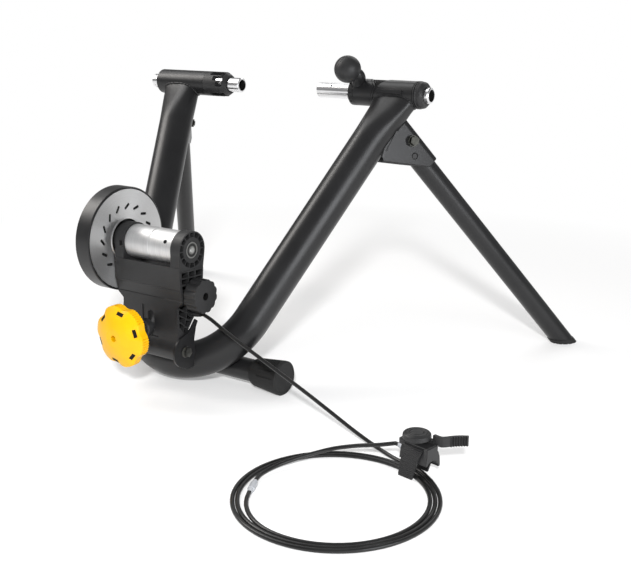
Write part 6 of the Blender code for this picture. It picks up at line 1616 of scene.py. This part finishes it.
def make_cable():
    coil = coil_points()
    into_coil = (coil[1] - coil[0]).normalized()
    gland_face = Vector((GLAND_END_X + SEAT_GAP, GLAND_Y, GLAND_Z))
    lead = straight_ended(gland_face, Vector((1, 0, 0)), LEAD_ROUTE, coil[0] - into_coil * SEAT_GAP,
                          into_coil)
    heading = (coil[-1] - coil[-2]).normalized()
    start = coil[-1] + heading * SEAT_GAP
    place = Matrix.Translation(start) @ heading.to_track_quat("Z", "Y").to_matrix().to_4x4()
    end = BARREL_LENGTH
    profile = [(0, end), (BARREL_RADIUS - 0.001, end), (BARREL_RADIUS - 0.0006, end - 0.006),
               (BARREL_RADIUS, end - 0.0065), (BARREL_RADIUS, 0.0065), (BARREL_RADIUS - 0.0006, 0.006),
               (BARREL_RADIUS - 0.001, 0), (0, 0)]
    barrel = finish(turned("cable_barrel", profile, place, steps=14), "plastic_grey")
    gland = bpy.data.objects["cable_gland" + SHAPE_SUFFIX]
    wire("cable_long", lead + coil, ("cable_lead", "cable_coil"), far_end="connector", lay="coiled",
         with_pieces=[barrel, gland])

    leave = start + heading * (BARREL_LENGTH + SEAT_GAP)
    port_end = port_place(PORT_LENGTH + SEAT_GAP).translation
    into_port = (remote_place(1).translation - remote_place(0).translation).normalized()
    tail = straight_ended(leave, heading, TAIL_ROUTE, port_end, into_port)
    wire("cable_short", tail, ("cable_tail",), far_end="object", lay="loose")


# All pieces

# The darker steel on the bolt, nut and bearing paints shade on them
KEPT = {"plastic_black": ("bracket_plug_left", "bracket_plug_right", "magnet_hub"),
        "powder_coat_black": ("magnet_carrier",), "magnet_nickel": ("magnets",),
        "dark_steel": ("tension_bolt", "flywheel_nut", "bearing_left"), "bright_steel": ("roller_shaft",)}


def keep():
    """Nodes whose shape is right as it is get a finer surface."""
    for finish_name, names in KEPT.items():
        for name in names:
            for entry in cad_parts[name].material_slots:
                entry.material = MATERIALS[finish_name]


def make_all():
    make_main_frame()
    make_sleeves()
    make_crossbar()
    make_pivot_bracket()
    make_pivot_bolt()
    for side, word in ((-1, "left"), (1, "right")):
        make_arm_weld(side, f"arm_weld_{word}")
        make_rear_foot(side, f"rear_foot_{word}")
        make_leg_bracket(side, word)
        make_leg_bolt(side, f"leg_bolt_{word}")
        make_leg(side, f"leg_{word}")
        make_leg_foot(side, word)
    make_left_clamp()
    make_right_clamp()
    make_housing()
    make_roller()
    make_flywheel()
    make_side_knob()
    make_gland()
    make_tension()
    make_remote()
    make_cable()
    keep()


# Floor, light and camera

FLOOR_HALF_SIZE = 6
FLOOR_TONE = 0.92
# Distance from the object's middle over which the floor's own glow takes over, and its least share
GLOW_START = 0.55
GLOW_END = 1.2
GLOW_LEAST = 0.25
SOFT_LIGHT = 0.25
WHITE = (1, 1, 1, 1)
# Place, target height, size, power, colour and whether glossy surfaces show the lamp
LAMPS = {
    "front": ((1.35, -1.99, 1.27), 0.1, (0.20, 0.16), 72, (1, 1, 1), False),
    "key": ((-1.9, -0.7, 1.75), 0.2, (0.9, 1.3), 30, (1.0, 0.965, 0.93), True),
    "side": ((2.2, -0.75, 0.55), 0.2, (1.3, 0.9), 24, (0.95, 0.97, 1.0), True),
    "back": ((-0.5, 2.0, 1.9), 0.2, (2.0, 1.2), 12, (1, 1, 1), True),
    "top": ((-1.3, 0.1, 2.4), 0.2, (1.3, 1.3), 15, (1, 1, 1), True)}
CAMERA_LENS = 57.03
CAMERA_AZIMUTH = math.radians(34.62)
CAMERA_ELEVATION = math.radians(15.96)
CAMERA_X = 0.9328 + AXLE_MIDDLE_X
CAMERA_Y = -1.2661 + AXLE_MIDDLE_Y
CAMERA_Z = 0.5179


def aim(obj, place, direction):
    obj.location = place
    obj.rotation_mode = "QUATERNION"
    obj.rotation_quaternion = direction.to_track_quat("-Z", "Y")


def make_floor():
    """White floor that glows by itself toward its far parts, for the camera and for reflections."""
    bm = bmesh.new()
    bmesh.ops.create_grid(bm, x_segments=1, y_segments=1, size=FLOOR_HALF_SIZE)
    mesh = bpy.data.meshes.new("floor")
    bm.to_mesh(mesh)
    bm.free()
    made, tree, shader = start_material("floor_white", 0.7, specular=0.2)
    feed(shader, "Base Color", (FLOOR_TONE, FLOOR_TONE, FLOOR_TONE, 1))
    glow = node(tree, "ShaderNodeEmission", {"Color": WHITE, "Strength": 1.0})
    place = node(tree, "ShaderNodeTexCoord")["Object"]
    distance = node(tree, "ShaderNodeVectorMath", {0: place}, operation="LENGTH")["Value"]
    path = node(tree, "ShaderNodeLightPath")
    seen = calculated(tree, "MAXIMUM", path["Is Camera Ray"], path["Is Glossy Ray"])
    share = calculated(tree, "MULTIPLY", ranged(tree, distance, GLOW_LEAST, 1.0, GLOW_START, GLOW_END), seen)
    mix = node(tree, "ShaderNodeMixShader", {0: share, 1: shader.outputs[0], 2: glow[0]})
    feed(tree.nodes["Material Output"], "Surface", mix[0])
    mesh.materials.append(made)
    linked("floor", mesh)


def make_world():
    """White background for the camera and a softer light from it for all the rest."""
    world = bpy.data.worlds.new("studio")
    bpy.context.scene.world = world
    world.use_nodes = True
    tree = world.node_tree
    soft = tree.nodes["Background"]
    feed(soft, "Color", WHITE)
    feed(soft, "Strength", SOFT_LIGHT)
    white = node(tree, "ShaderNodeBackground", {"Color": WHITE, "Strength": 1.0})
    seen = node(tree, "ShaderNodeLightPath")["Is Camera Ray"]
    mix = node(tree, "ShaderNodeMixShader", {0: seen, 1: soft.outputs[0], 2: white[0]})
    feed(tree.nodes["World Output"], "Surface", mix[0])


def make_lamp(name, place, target_height, size, power, colour, glossy):
    data = bpy.data.lights.new(name, "AREA")
    data.shape = "RECTANGLE"
    data.size, data.size_y = size
    data.energy = power
    data.color = colour
    lamp = linked(name, data)
    lamp.visible_glossy = glossy
    aim(lamp, place, Vector((0, 0, target_height)) - Vector(place))


def make_camera():
    data = bpy.data.cameras.new("camera")
    data.sensor_width = 36
    data.lens = CAMERA_LENS
    data.clip_start = 0.05
    data.clip_end = 50
    camera = linked("camera", data)
    level = math.cos(CAMERA_ELEVATION)
    aim(camera, (CAMERA_X, CAMERA_Y, CAMERA_Z),
        Vector((-math.sin(CAMERA_AZIMUTH) * level, math.cos(CAMERA_AZIMUTH) * level,
                -math.sin(CAMERA_ELEVATION))))
    bpy.context.scene.camera = camera


make_all()
make_floor()
make_world()
for lamp_name, values in LAMPS.items():
    make_lamp(lamp_name, *values)
make_camera()
bpy.context.scene.view_settings.view_transform = "Standard"
